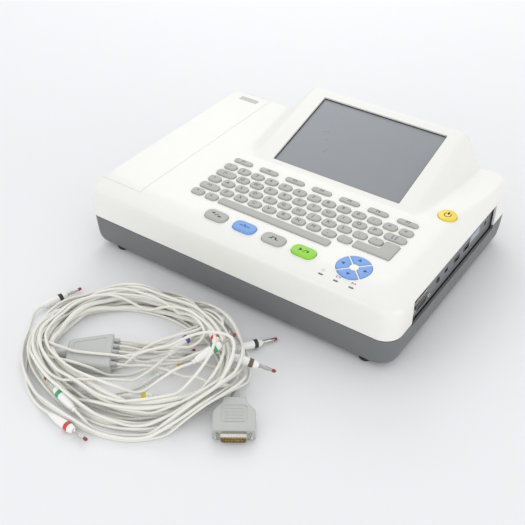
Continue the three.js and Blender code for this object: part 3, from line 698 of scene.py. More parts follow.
PLAIN, WIDE = KEY_WIDTH, KEY_WIDTH + KEY_PITCH / 2
KEY_ROWS = [
    [(0.5 + i, PLAIN) for i in range(13)],
    [(0.75, WIDE), *((2 + i, PLAIN) for i in range(10)), (12.25, WIDE)],
    [(0.5 + i, PLAIN) for i in range(12)],
    [(0.75, WIDE), *((2 + i, PLAIN) for i in range(9))],
    [(0.5, PLAIN), (1.5, PLAIN)],
]
KEY_LEGENDS = [
    list("1234567890-=") + ["<"],
    ["|<", *"QWERTYUIOP", "[ ]"],
    ["^", *"ASDFGHJKL;'"],
    ["^^", *"ZXCVBNM,."],
    ["*", "+"],
]
FUNCTION_KEYS = {"x": column_x(0.846), "step": 1.884 * KEY_PITCH, "count": 7, "width": 24.5, "depth": 7.4}
FUNCTION_Y = sum(pair[1] for pair in box_mm("function_keys")) / 2
ACTION_KEYS = {"x": -37.5, "step": 37.2, "y": -116.1, "width": 27.5, "depth": 16, "radius": 7}
ARROWS = {"x": 129, "y": -108.6, "outer": 18.5, "inner": 5.4, "gap": 1.2}
POWER = {"x": 167.5, "y": 27.7, "radius": 10.5}
SPACE = {"left": column_x(2.08), "right": column_x(9.5)}


def row_shapes(row):
    return [pill(column_x(column), ROW_Y[row], width, KEY_DEPTH, 4.6) for column, width in KEY_ROWS[row]]


def function_shapes():
    keys = FUNCTION_KEYS
    return [pill(keys["x"] + i * keys["step"], FUNCTION_Y, keys["width"], keys["depth"], 3.6)
            for i in range(keys["count"])]


def action_shape(i):
    keys = ACTION_KEYS
    return pill(keys["x"] + i * keys["step"], keys["y"], keys["width"], keys["depth"], keys["radius"])


def space_shape(more=0):
    middle, width = (SPACE["left"] + SPACE["right"]) / 2, SPACE["right"] - SPACE["left"]
    return rounded_rectangle(middle, ROW_Y[4], width + 2 * more, KEY_DEPTH - 1 + 2 * more, 2.5 + more)


def rounded_corners(points, radius, steps=4):
    """A polygon with its corners rounded, whichever way they turn."""
    result = []
    count = len(points)
    for i in range(count):
        before, at, after = (np.array(points[(i + d) % count], float) for d in (-1, 0, 1))
        a, b = before - at, after - at
        start, end = at + a / np.linalg.norm(a) * radius, at + b / np.linalg.norm(b) * radius
        for t in np.linspace(0, 1, steps + 1):
            result.append(tuple((1 - t) ** 2 * start + 2 * t * (1 - t) * at + t ** 2 * end))
    return result


def enter_shape(more=0):
    left, stem, right = column_x(10.6), column_x(11.98), column_x(12.86)
    bottom, step, top = ROW_Y[3] - KEY_DEPTH / 2, ROW_Y[3] + KEY_DEPTH / 2, ROW_Y[2] + KEY_DEPTH / 2
    corners = [(left - more, bottom - more), (right + more, bottom - more), (right + more, top + more),
               (stem - more, top + more), (stem - more, step + more), (left - more, step + more)]
    return rounded_corners(corners, 2.2)


def arrow_shape(quarter):
    turn = quarter * math.pi / 2

    def shape(more=0):
        outer, inner = ARROWS["outer"] + more, ARROWS["inner"] - more
        points = []
        for radius, way in ((outer, 1), (inner, -1)):
            side = math.pi / 4 - (ARROWS["gap"] - more) / radius
            for angle in np.linspace(turn - way * side, turn + way * side, 13):
                x, y = radius * math.cos(angle), radius * math.sin(angle)
                points.append((ARROWS["x"] + x, ARROWS["y"] + y))
        return points

    return shape


def power_shape(more=0):
    return circle(POWER["x"], POWER["y"], POWER["radius"] + more)


ALL_KEY_SHAPES = [
    *(shape for row in range(5) for shape in row_shapes(row)), *function_shapes(),
    *(action_shape(i) for i in range(4)), *(arrow_shape(i) for i in range(4)),
    space_shape, enter_shape, power_shape,
]


def key_cap(shape, top, edge=0.7):
    """A soft-edged key cap."""
    return bevelled(prism(shape(), DECK - 7, top, "cap"), edge, 3, angle=60)


def keys(name, shapes, material, top, slot, edge=0.7):
    caps = [key_cap(shape, top, edge) for shape in shapes]
    low, high = box_mm(name)
    bar_depth = min(8, (high[1] - low[1]) * 0.6)
    if len(caps) > 1:
        y = (low[1] + high[1]) / 2
        caps.append(block((low[0] + 3, high[0] - 3), (y - bar_depth / 2, y + bar_depth / 2),
                          (low[2], low[2] + 2)))
    piece(joined(f"{name}_caps", caps), material, name, slot, [name])


def text(characters, x, y, size, height, name="text"):
    """Characters as a thin solid on the deck's keys, centred on (x, y)."""
    curve = bpy.data.curves.new(name, "FONT")
    curve.body = characters
    curve.size = size * MM
    curve.align_x = "CENTER"
    curve.align_y = "CENTER"
    curve.extrude = 0.04 * MM
    curve.resolution_u = 3
    obj = bpy.data.objects.new(name, curve)
    bpy.context.scene.collection.objects.link(obj)
    graph = bpy.context.evaluated_depsgraph_get()
    mesh = bpy.data.meshes.new_from_object(obj.evaluated_get(graph))
    bpy.data.objects.remove(obj)
    made = bpy.data.objects.new(name, mesh)
    bpy.context.scene.collection.objects.link(made)
    return placed(made, (x, y, height))


def mark(points, height, thickness=0.06):
    return prism(points, height, height + thickness, "mark")


def legends(name, marks, body, ink=INK):
    piece(joined(name, marks), ink, body)


def keyboard():
    key_top = DECK + 2
    for row, shapes in enumerate(KEY_ROWS):
        name = f"key_row_{row + 1}"
        keys(name, row_shapes(row), KEY_GREY, key_top, "key_grey")
        marks = [text(legend, column_x(column) - 1, ROW_Y[row], 6.6, key_top + 0.03)
                 for (column, _), legend in zip(shapes, KEY_LEGENDS[row])]
        legends(f"{name}_legends", marks, name)
    keys("function_keys", function_shapes(), KEY_GREY, key_top, "key_grey")
    legends("function_legends", [
        text(f"F{i + 1}", FUNCTION_KEYS["x"] + i * FUNCTION_KEYS["step"], FUNCTION_Y, 5.4, key_top + 0.03)
        for i in range(FUNCTION_KEYS["count"])], "function_keys")
    keys("space_key", [space_shape], KEY_GREY, key_top, "key_grey")
    keys("enter_key", [enter_shape], KEY_GREY, key_top, "key_grey")
    action_keyboard(key_top)
    arrow_keyboard(DECK + 0.5)
    power_key(DECK + 1.6)


def action_keyboard(key_top):
    looks = [("key_grey", KEY_GREY, INK), ("key_blue", KEY_BLUE, INK_BLUE), ("key_grey", KEY_GREY, INK),
             ("key_green", KEY_GREEN, INK)]
    height = key_top + 0.03
    for i, (slot, material, ink) in enumerate(looks):
        name = f"action_key_{i + 1}"
        keys(name, [action_shape(i)], material, key_top, slot, edge=1.1)
        x, y = ACTION_KEYS["x"] + i * ACTION_KEYS["step"], ACTION_KEYS["y"]
        legends(f"{name}_symbol", ACTION_SYMBOLS[i](x, y, height), name, ink)


def bar(x, y, width, depth, height):
    return mark(rounded_rectangle(x, y, width, depth, depth * 0.3, 1), height)


def slanted(x, y, length, thickness, angle, height):
    obj = mark(rounded_rectangle(0, 0, length, thickness, thickness * 0.3, 1), 0)
    return placed(obj, (x, y, height), (0, 0, angle))


def change_symbol(x, y, height):
    return [bar(x - 4.6, y + 1.4, 4.2, 2, height), slanted(x, y, 5.5, 0.8, 60, height),
            bar(x + 4.6, y - 1.4, 4.2, 2, height)]


def wave_symbol(x, y, height):
    return [bar(x - 4.6, y, 4, 1, height), slanted(x - 1.6, y + 1, 3.4, 1, 62, height),
            slanted(x + 0.6, y + 0.2, 4.6, 1, -72, height), bar(x + 4.2, y, 4.6, 1, height)]


def step_symbol(x, y, height):
    return [bar(x - 4, y - 1.4, 3.6, 1, height), bar(x - 2.4, y, 1, 3.6, height),
            bar(x, y + 1.4, 5, 1, height), bar(x + 2.4, y, 1, 3.6, height),
            bar(x + 4, y - 1.4, 3.6, 1, height)]


def print_symbol(x, y, height):
    triangle = [(x - 5.5, y - 2.4), (x - 1.6, y), (x - 5.5, y + 2.4)]
    return [mark(triangle, height), slanted(x + 1, y, 5.4, 0.8, 62, height), bar(x + 4.6, y, 2, 4.2, height)]


ACTION_SYMBOLS = [change_symbol, wave_symbol, step_symbol, print_symbol]


def arrow_keyboard(top):
    for quarter, name in enumerate(("arrow_right", "arrow_up", "arrow_left", "arrow_down")):
        keys(name, [arrow_shape(quarter)], KEY_BLUE, top, "key_blue", edge=0.8)
        turn = quarter * math.pi / 2
        reach = (ARROWS["outer"] + ARROWS["inner"]) / 2 + 0.5
        points = [(reach + 2.6 * math.cos(a), 2.6 * math.sin(a))
                  for a in (0, 2 * math.pi / 3, 4 * math.pi / 3)]
        turned_points = [(ARROWS["x"] + x * math.cos(turn) - y * math.sin(turn),
                          ARROWS["y"] + x * math.sin(turn) + y * math.cos(turn)) for x, y in points]
        legends(f"{name}_symbol", [mark(turned_points, top + 0.03)], name, INK_BLUE)


def ring_mark(x, y, inner, outer, start, end, height, steps=28):
    """A flat arc from start to end degrees."""
    angles = np.radians(np.linspace(start, end, steps))
    points = [(x + outer * math.cos(a), y + outer * math.sin(a)) for a in angles]
    points += [(x + inner * math.cos(a), y + inner * math.sin(a)) for a in angles[::-1]]
    return mark(points, height)


def power_key(top):
    keys("power_key", [power_shape], KEY_YELLOW, top, "key_yellow", edge=0.9)
    x, y, height = POWER["x"], POWER["y"], top + 0.03
    legends("power_symbol", [
        ring_mark(x, y, 3.3, 4.2, 125, 415, height), bar(x, y + 3, 0.95, 4.6, height)], "power_key")


# ------------------------------------------------------------------ display
def display():
    # A black gasket ring under the window. It also stands in for the shadow inside the window's recess, so it
    # is partly painted shade.
    frame_outer = screen_prism(SCREEN["width"] + 4, SCREEN["length"] + 4, 2, -2.75, -2.25, "screen_gasket_painted_shade")
    boolean(frame_outer, screen_prism(SCREEN["width"] - 2.4, SCREEN["length"] - 2.4, 1, -10, 10))
    piece(frame_outer, BLACK, "console")


# ------------------------------------------------------------------ lower case
HATCH = {"x": 15, "y": -92, "width": 150, "depth": 62, "radius": 4}
SCREW_PLACES = [(-120, -128), (120, -128), (-120, 128), (120, 128)]
FOOT_NODES = ("foot_front_left", "foot_front_right", "foot_rear_left", "foot_rear_right")
SIDE_PLATES = {"left": -193, "right": -150, "top": 76, "faces": ((-109, -105.5), (108, 111.5))}
PLATEN = {"x": -183, "z": 70, "radius": 7, "shaft": 3, "front": -104, "back": 106}
ROLL = {"x": -163, "z": 45, "radius": 22, "bore": 6, "spindle": 5.4, "front": -101, "back": 104}
GEARS = {"front": 112.5, "back": 116.5, "module": 0.8, "platen": 24, "pinion": 12}
MOTOR = {"x": -183, "z": 55.5, "radius": 10, "front": 119, "back": 133}


def ring_solid(name, levels):
    """A closed solid through the console's outline at several heights, from (height, inset) pairs."""
    rings = []
    for z, inset in levels:
        flat = outline((inset,) * 4)
        rings.append(np.column_stack([flat, np.full(len(flat), float(z))]))
    rim = len(rings[0])
    faces = ring_faces(len(rings), rim)
    faces += [tuple(reversed(range(rim))), tuple(range((len(rings) - 1) * rim, len(rings) * rim))]
    return new_mesh_object(name, np.concatenate(rings), faces)


def along_y(outline_xz, y0, y1, name="along_y"):
    """A prism that runs along Y over an outline in X and Z."""
    return placed(prism(outline_xz, -y1, -y0, name), turn=(90, 0, 0))


def turned_on_y(profile, x, z, name, sides=32):
    """A solid of revolution about an axis along Y, from (radius, y) pairs."""
    return placed(turned(profile, name, sides), (x, 0, z), (-90, 0, 0))


def side_plate(y0, y1):
    plate = block((SIDE_PLATES["left"], SIDE_PLATES["right"]), (y0, y1), (5.8, SIDE_PLATES["top"]))
    bevelled(plate, 0.5, 2)
    half = ROLL["spindle"] + 0.3
    slot = along_y(circle(ROLL["x"], ROLL["z"], half), y0 - 1, y1 + 1)
    boolean(slot, block((ROLL["x"] - half, ROLL["x"] + half), (y0 - 1, y1 + 1), (ROLL["z"], 90)), "UNION")
    bearing = along_y(circle(PLATEN["x"], PLATEN["z"], PLATEN["shaft"] + 0.3), y0 - 1, y1 + 1)
    boolean(plate, slot)
    return boolean(plate, bearing)


def lower_case():
    tray = ring_solid("lower_case_shell", LOWER_LEVELS)
    boolean(tray, ring_solid("inside", TRAY_LEVELS))
    cradle = block((MOTOR["x"] - 8, MOTOR["x"] + 8), (MOTOR["front"] + 3, MOTOR["back"] + 3), (5.8, 45.2))
    bosses = [prism(circle(x, y, 5, 24), 5.8, SEAM - 3) for x, y in SCREW_PLACES]
    plates = [side_plate(*face) for face in SIDE_PLATES["faces"]]
    for addition in (cradle, *bosses, *plates):
        boolean(tray, addition, "UNION")
    opening = rounded_rectangle(HATCH["x"], HATCH["y"], HATCH["width"] + 1, HATCH["depth"] + 1,
                                HATCH["radius"] + 0.5)
    cutters = [prism(opening, 0, 10)]
    cutters += [prism(circle(x, y, 4.4, 28), 3, 6.9) for x, y in SCREW_PLACES]
    cutters += [block((-60 + 9 * i, -55.5 + 9 * i), (HALF_DEPTH - 2.1, HALF_DEPTH + 5), (16, 34))
                for i in range(10)]
    cutters += [block((60 + 7 * i, 63 + 7 * i), (10, 70), (3, 6)) for i in range(10)]
    cutters.append(block((RECESS["x"] - 0.2, 210), (RECESS["front"], RECESS["back"]), (RECESS["ledge"], 60)))
    boolean(tray, joined("cutters", cutters))
    piece(tray, BASE, "console", "base_grey", ["lower_case"], sharp=34)
    seam = ring_solid("seam_shadow", [(42.3, 1), (43.35, 1)])
    boolean(seam, ring_solid("inside", [(41, 2.3), (45, 2.3)]))
    boolean(seam, block((RECESS["x"] - 1, 210), (RECESS["front"], RECESS["back"]), (RECESS["ledge"], 60)))
    piece(seam, SEAM_SHADE, "console")


def battery_hatch():
    shape = rounded_rectangle(HATCH["x"], HATCH["y"], HATCH["width"], HATCH["depth"], HATCH["radius"])
    hatch = bevelled(prism(shape, BASE_BOTTOM, BASE_BOTTOM + WALL, "battery_hatch_cover"), 0.4, 2)
    y = HATCH["y"] + HATCH["depth"] / 2 - 10
    finger = prism(rounded_rectangle(HATCH["x"], y, 26, 11, 5), 3, BASE_BOTTOM + 1.5)
    boolean(hatch, bevelled(finger, 0.5, 2, angle=60))
    ridges = [block((HATCH["x"] - 8, HATCH["x"] + 8), (y - 3 + 2 * i, y - 2.2 + 2 * i), (5.2, 6.8))
              for i in range(4)]
    boolean(hatch, joined("ridges", ridges), "UNION")
    piece(hatch, BASE, "console", "base_grey", ["battery_hatch"])


def bottom_screws():
    heads = []
    for x, y in SCREW_PLACES:
        head = turned([(0, 5.2), (2.6, 5.2), (3.4, 5.7), (3.6, 6.3), (3.6, 6.95), (0, 6.95)], "screw", 28)
        cross = block((-2.1, 2.1), (-0.45, 0.45), (4, 6.2), "cross")
        boolean(cross, block((-0.45, 0.45), (-2.1, 2.1), (4, 6.2)), "UNION")
        heads.append(placed(boolean(head, cross), (x, y, 0)))
    piece(joined("bottom_screws", heads), STEEL, "console")
    shape = rounded_rectangle(-95, 45, 72, 40, 2)
    plate = prism(shape, BASE_BOTTOM - 0.15, BASE_BOTTOM + 0.4, "rating_plate")
    piece(bevelled(plate, 0.1, 1), LABEL, "console")


def feet():
    profile = [(0, 0.9), (3.4, 0.9), (3.9, 0), (6.2, 0), (6.7, 0.2), (7, 0.7), (7.5, 3.2), (8, 3.8), (8, 4.5),
               (0, 4.5)]
    for name in FOOT_NODES:
        low, high = box_mm(name)
        x, y = (low[:2] + high[:2]) / 2
        pad = placed(turned(profile, f"{name}_pad", 36), (x, y, 0))
        piece(pad, RUBBER, "console", "rubber_black", [name])


# ------------------------------------------------------------------ connectors
PANEL_AT = {"outer": 192.5, "thickness": 2.5, "front": -107, "back": 104, "low": 38.6, "top": 71.6}
D_SOCKET = {"y": -85, "z": 55.4}
USB_SOCKETS = {"front": (8.6, 51.8), "rear": (33.5, 51.8)}
JACK = {"y": -38.9, "z": 54, "radius": 3.6}
SERVICE_SLOT = {"y": -18, "z": 53.25, "width": 8, "height": 4.5}
REAR_HOLE = {"y": 84.8, "z": 54.5, "radius": 2.9}


def on_panel(obj, y, z):
    """Stands a solid whose front looks along Z, with its width along X, on the side panel."""
    obj.data.transform(SIDEWAYS)
    obj.data.transform(Matrix.Translation(Vector((0, y, z)) * MM))
    return obj


def connector_panel():
    outer, inner = PANEL_AT["outer"], PANEL_AT["outer"] - PANEL_AT["thickness"]
    middle_y = (PANEL_AT["front"] + PANEL_AT["back"]) / 2
    middle_z, height = (PANEL_AT["low"] + PANEL_AT["top"]) / 2, PANEL_AT["top"] - PANEL_AT["low"]
    shape = rounded_rectangle(middle_y, middle_z, PANEL_AT["back"] - PANEL_AT["front"], height, 1)
    plate = upright_on_side(shape, inner, outer, "connector_panel_plate")
    cutters = [on_panel(prism(d_outline(26, 10), inner - 2, outer + 2), D_SOCKET["y"], D_SOCKET["z"])]
    cutters += [on_panel(prism(rounded_rectangle(0, 0, 14.4, 7, 0.8), inner - 2, outer + 2), y, z)
                for y, z in USB_SOCKETS.values()]
    cutters += [on_panel(prism(circle(0, 0, hole["radius"], 28), inner - 2, outer + 2), hole["y"], hole["z"])
                for hole in (JACK, REAR_HOLE)]
    cutters.append(on_panel(prism(rounded_rectangle(0, 0, SERVICE_SLOT["width"], SERVICE_SLOT["height"], 0.5),
                                  inner - 2, outer + 2), SERVICE_SLOT["y"], SERVICE_SLOT["z"]))
    cutters.append(on_panel(prism(circle(0, 0, 1.5, 20), outer - 1.2, outer + 2), 88.6, 60.4))
    groove = rounded_rectangle(0, 0, 198, 21, 1.5)
    rim = on_panel(prism(groove, outer - 0.35, outer + 2), middle_y, middle_z + 0.3)
    boolean(rim, on_panel(prism(rounded_rectangle(0, 0, 196.8, 19.8, 1.2), outer - 1, outer + 3),
                          middle_y, middle_z + 0.3))
    cutters.append(rim)
    boolean(plate, joined("cutters", cutters))
    piece(plate, PANEL, "console", "panel_grey", ["connector_panel"])
    label = prism(rounded_rectangle(0, 0, 25, 9, 1), outer - 0.05, outer + 0.15, "panel_label")
    piece(on_panel(label, 56, 55.6), LABEL, "console")


def ecg_socket():
    outer = PANEL_AT["outer"]
    flange = prism(rounded_rectangle(0, 0, 39, 12.4, 1.5), outer + 0.3, outer + 1.3, "socket_shell")
    flange = bevelled(flange, 0.3, 2)
    boolean(flange, prism(d_outline(24.6, 8.2), outer + 0.4, outer + 3.8), "UNION")
    boolean(flange, prism(d_outline(23.6, 7.2, 1.3), outer - 5, outer + 9))
    piece(on_panel(flange, D_SOCKET["y"], D_SOCKET["z"]), NICKEL, "console", "plated_steel", ["ecg_socket"])
    core = prism(d_outline(23.5, 7.1, 1.2), outer - 6, outer + 3.3, "socket_insulator")
    holes = [placed(prism(circle(0, 0, 0.62, 12), outer + 1, outer + 5), ((i - (count - 1) / 2) * 2.76, y, 0))
             for count, y in ((8, 1.42), (7, -1.42)) for i in range(count)]
    boolean(core, joined("holes", holes))
    piece(on_panel(core, D_SOCKET["y"], D_SOCKET["z"]), BLACK, "console", "black_plastic")
    posts = []
    for x in (-16.65, 16.65):
        hexagon = [(x + 2.7 * math.cos(a), 2.7 * math.sin(a)) for a in np.radians(np.arange(0, 360, 60))]
        post = bevelled(prism(hexagon, outer + 1.25, outer + 4.2), 0.3, 1, angle=70)
        posts.append(boolean(post, prism(circle(x, 0, 1.3, 18), outer + 2, outer + 6)))
    piece(on_panel(joined("socket_posts", posts), D_SOCKET["y"], D_SOCKET["z"]), STEEL, "console")


def usb_sockets():
    outer = PANEL_AT["outer"]
    for key, (y, z) in USB_SOCKETS.items():
        shell = prism(rounded_rectangle(0, 0, 13.2, 5.8, 0.6), outer - 14, outer + 0.7, f"usb_{key}_shell")
        boolean(shell, prism(rounded_rectangle(0, 0, 12.4, 5, 0.4), outer - 12, outer + 2))
        piece(on_panel(shell, y, z), NICKEL, "console", "plated_steel", [f"usb_socket_{key}"])
        tongue = block((-5.6, 5.6), (0.3, 2.1), (outer - 11.8, outer - 0.6), f"usb_{key}_tongue")
        piece(on_panel(bevelled(tongue, 0.2, 1), y, z), BLACK, "console", "black_plastic")
        strips = [block((x - 0.5, x + 0.5), (0.1, 0.32), (outer - 10, outer - 1.6))
                  for x in (-3.5, -1, 1, 3.5)]
        piece(on_panel(joined(f"usb_{key}_contacts", strips), y, z), GOLD, "console")


def small_sockets():
    outer = PANEL_AT["outer"]
    jack = turned([(0, outer - 9), (3.5, outer - 9), (3.5, outer + 0.5), (3.2, outer + 0.9),
                   (2.1, outer + 0.9), (1.8, outer + 0.6), (1.8, outer - 7), (0, outer - 7)],
                  "jack_barrel", 32)
    piece(on_panel(jack, JACK["y"], JACK["z"]), BLACK, "console", "black_plastic")
    slot = prism(rounded_rectangle(0, 0, 7.6, 4.1, 0.5), outer - 7, outer + 0.2, "service_socket")
    boolean(slot, prism(rounded_rectangle(0, 0, 6.4, 3, 0.3), outer - 5, outer + 2))
    piece(on_panel(slot, SERVICE_SLOT["y"], SERVICE_SLOT["z"]), BLACK, "console", "black_plastic")
    cup = turned([(0, outer - 6), (2.8, outer - 6), (2.8, outer - 0.1), (2.5, outer + 0.1), (2, outer - 0.4),
                  (2, outer - 4), (0, outer - 4)], "rear_cup", 28)
    piece(on_panel(cup, REAR_HOLE["y"], REAR_HOLE["z"]), BLACK, "console", "black_plastic")


def mains_inlet():
    x, z = INLET["x"], INLET["z"]
    back = HALF_DEPTH - 1
    body = along_y(rounded_rectangle(x, z, 27, 19.6, 2), back - 22, back, "mains_inlet_housing")
    half, low, high, cut = 12.2, -8, 8, 4.6
    mouth = [(-half, low), (half, low), (half, high - cut), (half - cut, high), (-half + cut, high),
             (-half, high - cut)]
    mouth = rounded_corners([(x + u, z + v) for u, v in mouth], 1)
    boolean(body, along_y(mouth, back - 18, back + 5))
    piece(body, BLACK, "console", "black_plastic", ["mains_inlet"])
    pins = [bevelled(block((x + u - 1, x + u + 1), (back - 19, back - 4), (z + v - 2, z + v + 2)), 0.5, 2)
            for u, v in ((-7, -1), (0, 3), (7, -1))]
    piece(joined("mains_pins", pins), NICKEL, "console", "plated_steel")


def earth_post():
    y = HALF_DEPTH - 15
    post = turned_on_y([
        (0, y), (7, y), (7, y + 2.6), (6.6, y + 3), (3.6, y + 3), (3.3, y + 3.4), (3.3, y + 6.6),
        (2.5, y + 7.2), (2.5, y + 8.6), (3, y + 9.4), (3, y + 12), (2.2, y + 13), (0, y + 13)],
        EARTH["x"], EARTH["z"],
        "earth_post_stud")
    piece(post, STEEL, "console", "plated_steel", ["earth_post"])


# ------------------------------------------------------------------ recorder
def gear_outline(teeth, first_tooth, x, z):
    pitch_radius = GEARS["module"] * teeth / 2
    tip, root = pitch_radius + 0.72, pitch_radius - 0.96
    flank = [(root, -0.28), (pitch_radius, -0.2), (tip - 0.15, -0.12), (tip, -0.08)]
    flank += [(radius, -share) for radius, share in reversed(flank)]
    points = []
    for tooth in range(teeth):
        for radius, share in flank:
            angle = first_tooth + (tooth + share) * 2 * math.pi / teeth
            points.append((x + radius * math.cos(angle), z + radius * math.sin(angle)))
    return points


def platen():
    x, z, radius, shaft = PLATEN["x"], PLATEN["z"], PLATEN["radius"], PLATEN["shaft"]
    front, back = PLATEN["front"], PLATEN["back"]
    rubber = turned_on_y([(0, front), (radius - 0.5, front), (radius, front + 0.6), (radius, back - 0.6),
                          (radius - 0.5, back), (0, back)], x, z, "platen_rubber", 48)
    piece(rubber, RUBBER, "platen", "rubber_black", ["platen_roller"])
    axle = turned_on_y([(0, -111.5), (shaft - 0.4, -111.5), (shaft, -111), (shaft, 117.5), (shaft - 0.4, 118),
                        (0, 118)], x, z, "platen_axle", 28)
    boolean(axle, block((x - 5, x + 5), (112.2, 120), (z + shaft - 0.6, z + 6)))
    piece(axle, STEEL, "platen", "plated_steel")
    teeth = gear_outline(GEARS["platen"], math.pi / 2, x, z)
    gear = along_y(teeth, GEARS["front"], GEARS["back"], "platen_gear_wheel")
    boolean(gear, along_y(circle(x, z, shaft - 0.02, 28), 110, 120))
    holes = [along_y(circle(x + 6.1 * math.cos(a), z + 6.1 * math.sin(a), 1.3, 18), 110, 120)
             for a in np.radians(np.arange(0, 360, 60))]
    boolean(gear, joined("holes", holes))
    piece(gear, GEAR, "platen", "gear_plastic", ["platen_gear"])


def paper_motor():
    x, z, front, back = MOTOR["x"], MOTOR["z"], MOTOR["front"], MOTOR["back"]
    pinion = along_y(gear_outline(GEARS["pinion"], -math.pi / 2 + math.pi / GEARS["pinion"], x, z),
                     GEARS["front"], GEARS["back"], "pinion_teeth")
    boolean(pinion, along_y(circle(x, z, 1.5, 20), GEARS["front"] - 1, front - 0.3), "UNION")
    piece(pinion, STEEL, "pinion", "plated_steel", ["motor_pinion"])
    radius = MOTOR["radius"]
    can = turned_on_y([
        (0, front + 0.4), (2.2, front + 0.4), (2.4, front + 0.6), (2.4, front + 1), (radius - 1, front + 1),
        (radius - 0.2, front + 1.6), (radius, front + 2.4), (radius, back - 2.6), (radius - 0.5, back - 2),
        (radius - 0.5, back - 0.6), (radius - 1.2, back), (0, back)], x, z, "motor_can", 48)
    piece(can, STEEL, "console", "plated_steel", ["paper_motor"])


def paper_roll():
    x, z, front, back = ROLL["x"], ROLL["z"], ROLL["front"], ROLL["back"]
    outer, bore = ROLL["radius"], ROLL["bore"]
    wound = turned_on_y([(0, front), (outer - 0.2, front), (outer, front + 0.2), (outer, back - 0.2),
                         (outer - 0.2, back), (0, back)], x, z, "paper_wound", 72)
    boolean(wound, along_y(circle(x, z, bore + 1.2, 40), front - 2, back + 2))
    for y in (front, back):
        for radius in np.arange(bore + 3, outer, 2.6):
            ring = along_y(circle(x, z, radius + 0.12, 56), y - 0.12, y + 0.12)
            boolean(ring, along_y(circle(x, z, radius - 0.12, 56), y - 1, y + 1))
            boolean(wound, ring)
    piece(wound, PAPER, "roll", "chart_paper", ["paper_roll"])
    tube = along_y(circle(x, z, bore + 1.2, 40), front + 0.3, back - 0.3, "paper_core")
    boolean(tube, along_y(circle(x, z, bore, 40), front - 2, back + 2))
    piece(tube, CARD, "roll")
    spindle = turned_on_y([
        (0, -112), (4.6, -112), (5.4, -111.2), (5.4, -102.4), (5.2, -102), (5.2, 105), (5.4, 105.4),
        (5.4, 113.7), (4.6, 114.5), (0, 114.5)], x, z, "spindle_rod", 36)
    for turn in range(4):
        angle = math.radians(45 + 90 * turn)
        flute = along_y(circle(x + 5.9 * math.cos(angle), z + 5.9 * math.sin(angle), 1.3, 16), -120, 120)
        boolean(spindle, flute)
    piece(spindle, GEAR, "roll", "gear_plastic", ["roll_spindle"])


def paper_strip():
    """The free end of the paper: from the top of the roll, over the platen and out at the left."""
    roll, roller = np.array((ROLL["x"], ROLL["z"])), np.array((PLATEN["x"], PLATEN["z"]))
    between = roller - roll
    lean = (ROLL["radius"] - PLATEN["radius"]) / np.linalg.norm(between)
    way = between / np.linalg.norm(between)
    normal = lean * way + math.sqrt(1 - lean ** 2) * np.array((way[1], -way[0]))
    middle = [roll + normal * (ROLL["radius"] + 0.12)]
    start = math.atan2(normal[1], normal[0])
    for angle in np.linspace(start, math.pi / 2, 6):
        middle.append(roller + (PLATEN["radius"] + 0.1) * np.array((math.cos(angle), math.sin(angle))))
    middle += [np.array((-188, 77.4)), np.array((-192, 77.9)), np.array((-196.4, 78.1))]
    middle = np.array(middle)
    steps = np.gradient(middle, axis=0)
    side = np.stack([steps[:, 1], -steps[:, 0]], 1) / np.linalg.norm(steps, axis=1)[:, None]
    outline_xz = [*map(tuple, middle + 0.05 * side), *map(tuple, (middle - 0.05 * side)[::-1])]
    strip = along_y(outline_xz[::-1], ROLL["front"] + 0.5, ROLL["back"] - 0.5, "paper_strip")
    piece(strip, PAPER, "console", "chart_paper")


def paper_bay():
    """The trough around the roll, open at the top."""
    x, z = ROLL["x"], ROLL["z"]
    points = []
    for radius, way in ((25.6, 1), (24.5, -1)):
        arc = [(x + radius * math.cos(a), z + radius * math.sin(a))
               for a in np.radians(np.linspace(180, 360, 25))]
        arc = [(x - radius, 60), *arc, (x + radius, 80)]
        points += arc[::way]
    (_, front), (back, _) = SIDE_PLATES["faces"]
    trough = along_y(points, front + 0.05, back - 0.05, "paper_trough")
    piece(trough, PANEL, "console", "panel_grey")


def print_head():
    x0, x1, front, back = -190, -176, PLATEN["front"], PLATEN["back"]
    sink = bevelled(block((x0, x1), (front, back), (79.4, 83.7), "print_head_sink"), 0.4, 2)
    fins = [block((x0 + 2 + 3 * i, x0 + 3.4 + 3 * i), (front + 4, back - 4), (82.2, 90)) for i in range(4)]
    boolean(sink, joined("fins", fins))
    piece(sink, STEEL, "lid", "plated_steel", ["print_head"])
    ceramic = block((x0 + 0.6, x1 - 0.6), (front + 1, back - 1), (78.3, 79.5), "print_head_ceramic")
    piece(bevelled(ceramic, 0.2, 1), CERAMIC, "lid")
    line = turned_on_y([(0, front + 3), (0.9, front + 3), (0.9, back - 3), (0, back - 3)], PLATEN["x"], 78.35,
                       "print_head_line", 12)
    piece(line, BLACK, "lid", "black_plastic")


# ------------------------------------------------------------------ lights and badge
def roll_off_height(y):
    """How high the deck's front roll-off is at y."""
    insets = [level[3] for level in UPPER_LEVELS]
    return np.interp(y + HALF_DEPTH, insets, [level[0] for level in UPPER_LEVELS])


def indicator_lights():
    """Three lenses on the front roll-off with a generic symbol behind each: mains, battery and charging."""
    places = [(104.8, -133.4), (122.6, -134), (140.4, -134.4)]
    lean = math.degrees(math.atan2(1.4, 4.2))
    lenses, marks = [], []
    for i, (x, y) in enumerate(places):
        shape = rounded_rectangle(0, 0, 5.6, 1.9, 0.9)
        lens = bevelled(prism(shape, -1, 0.28), 0.2, 2, angle=60)
        lenses.append(placed(lens, (x, y, roll_off_height(y)), (lean, 0, 0)))
        behind = y + 5.2
        marks += [placed(obj, (x, behind, roll_off_height(behind) + 0.02), (lean * 0.8, 0, 0))
                  for obj in light_symbol(i)]
    piece(joined("light_lenses", lenses), LENS, "console")
    piece(joined("light_symbols", marks), SYMBOL_INK, "console")


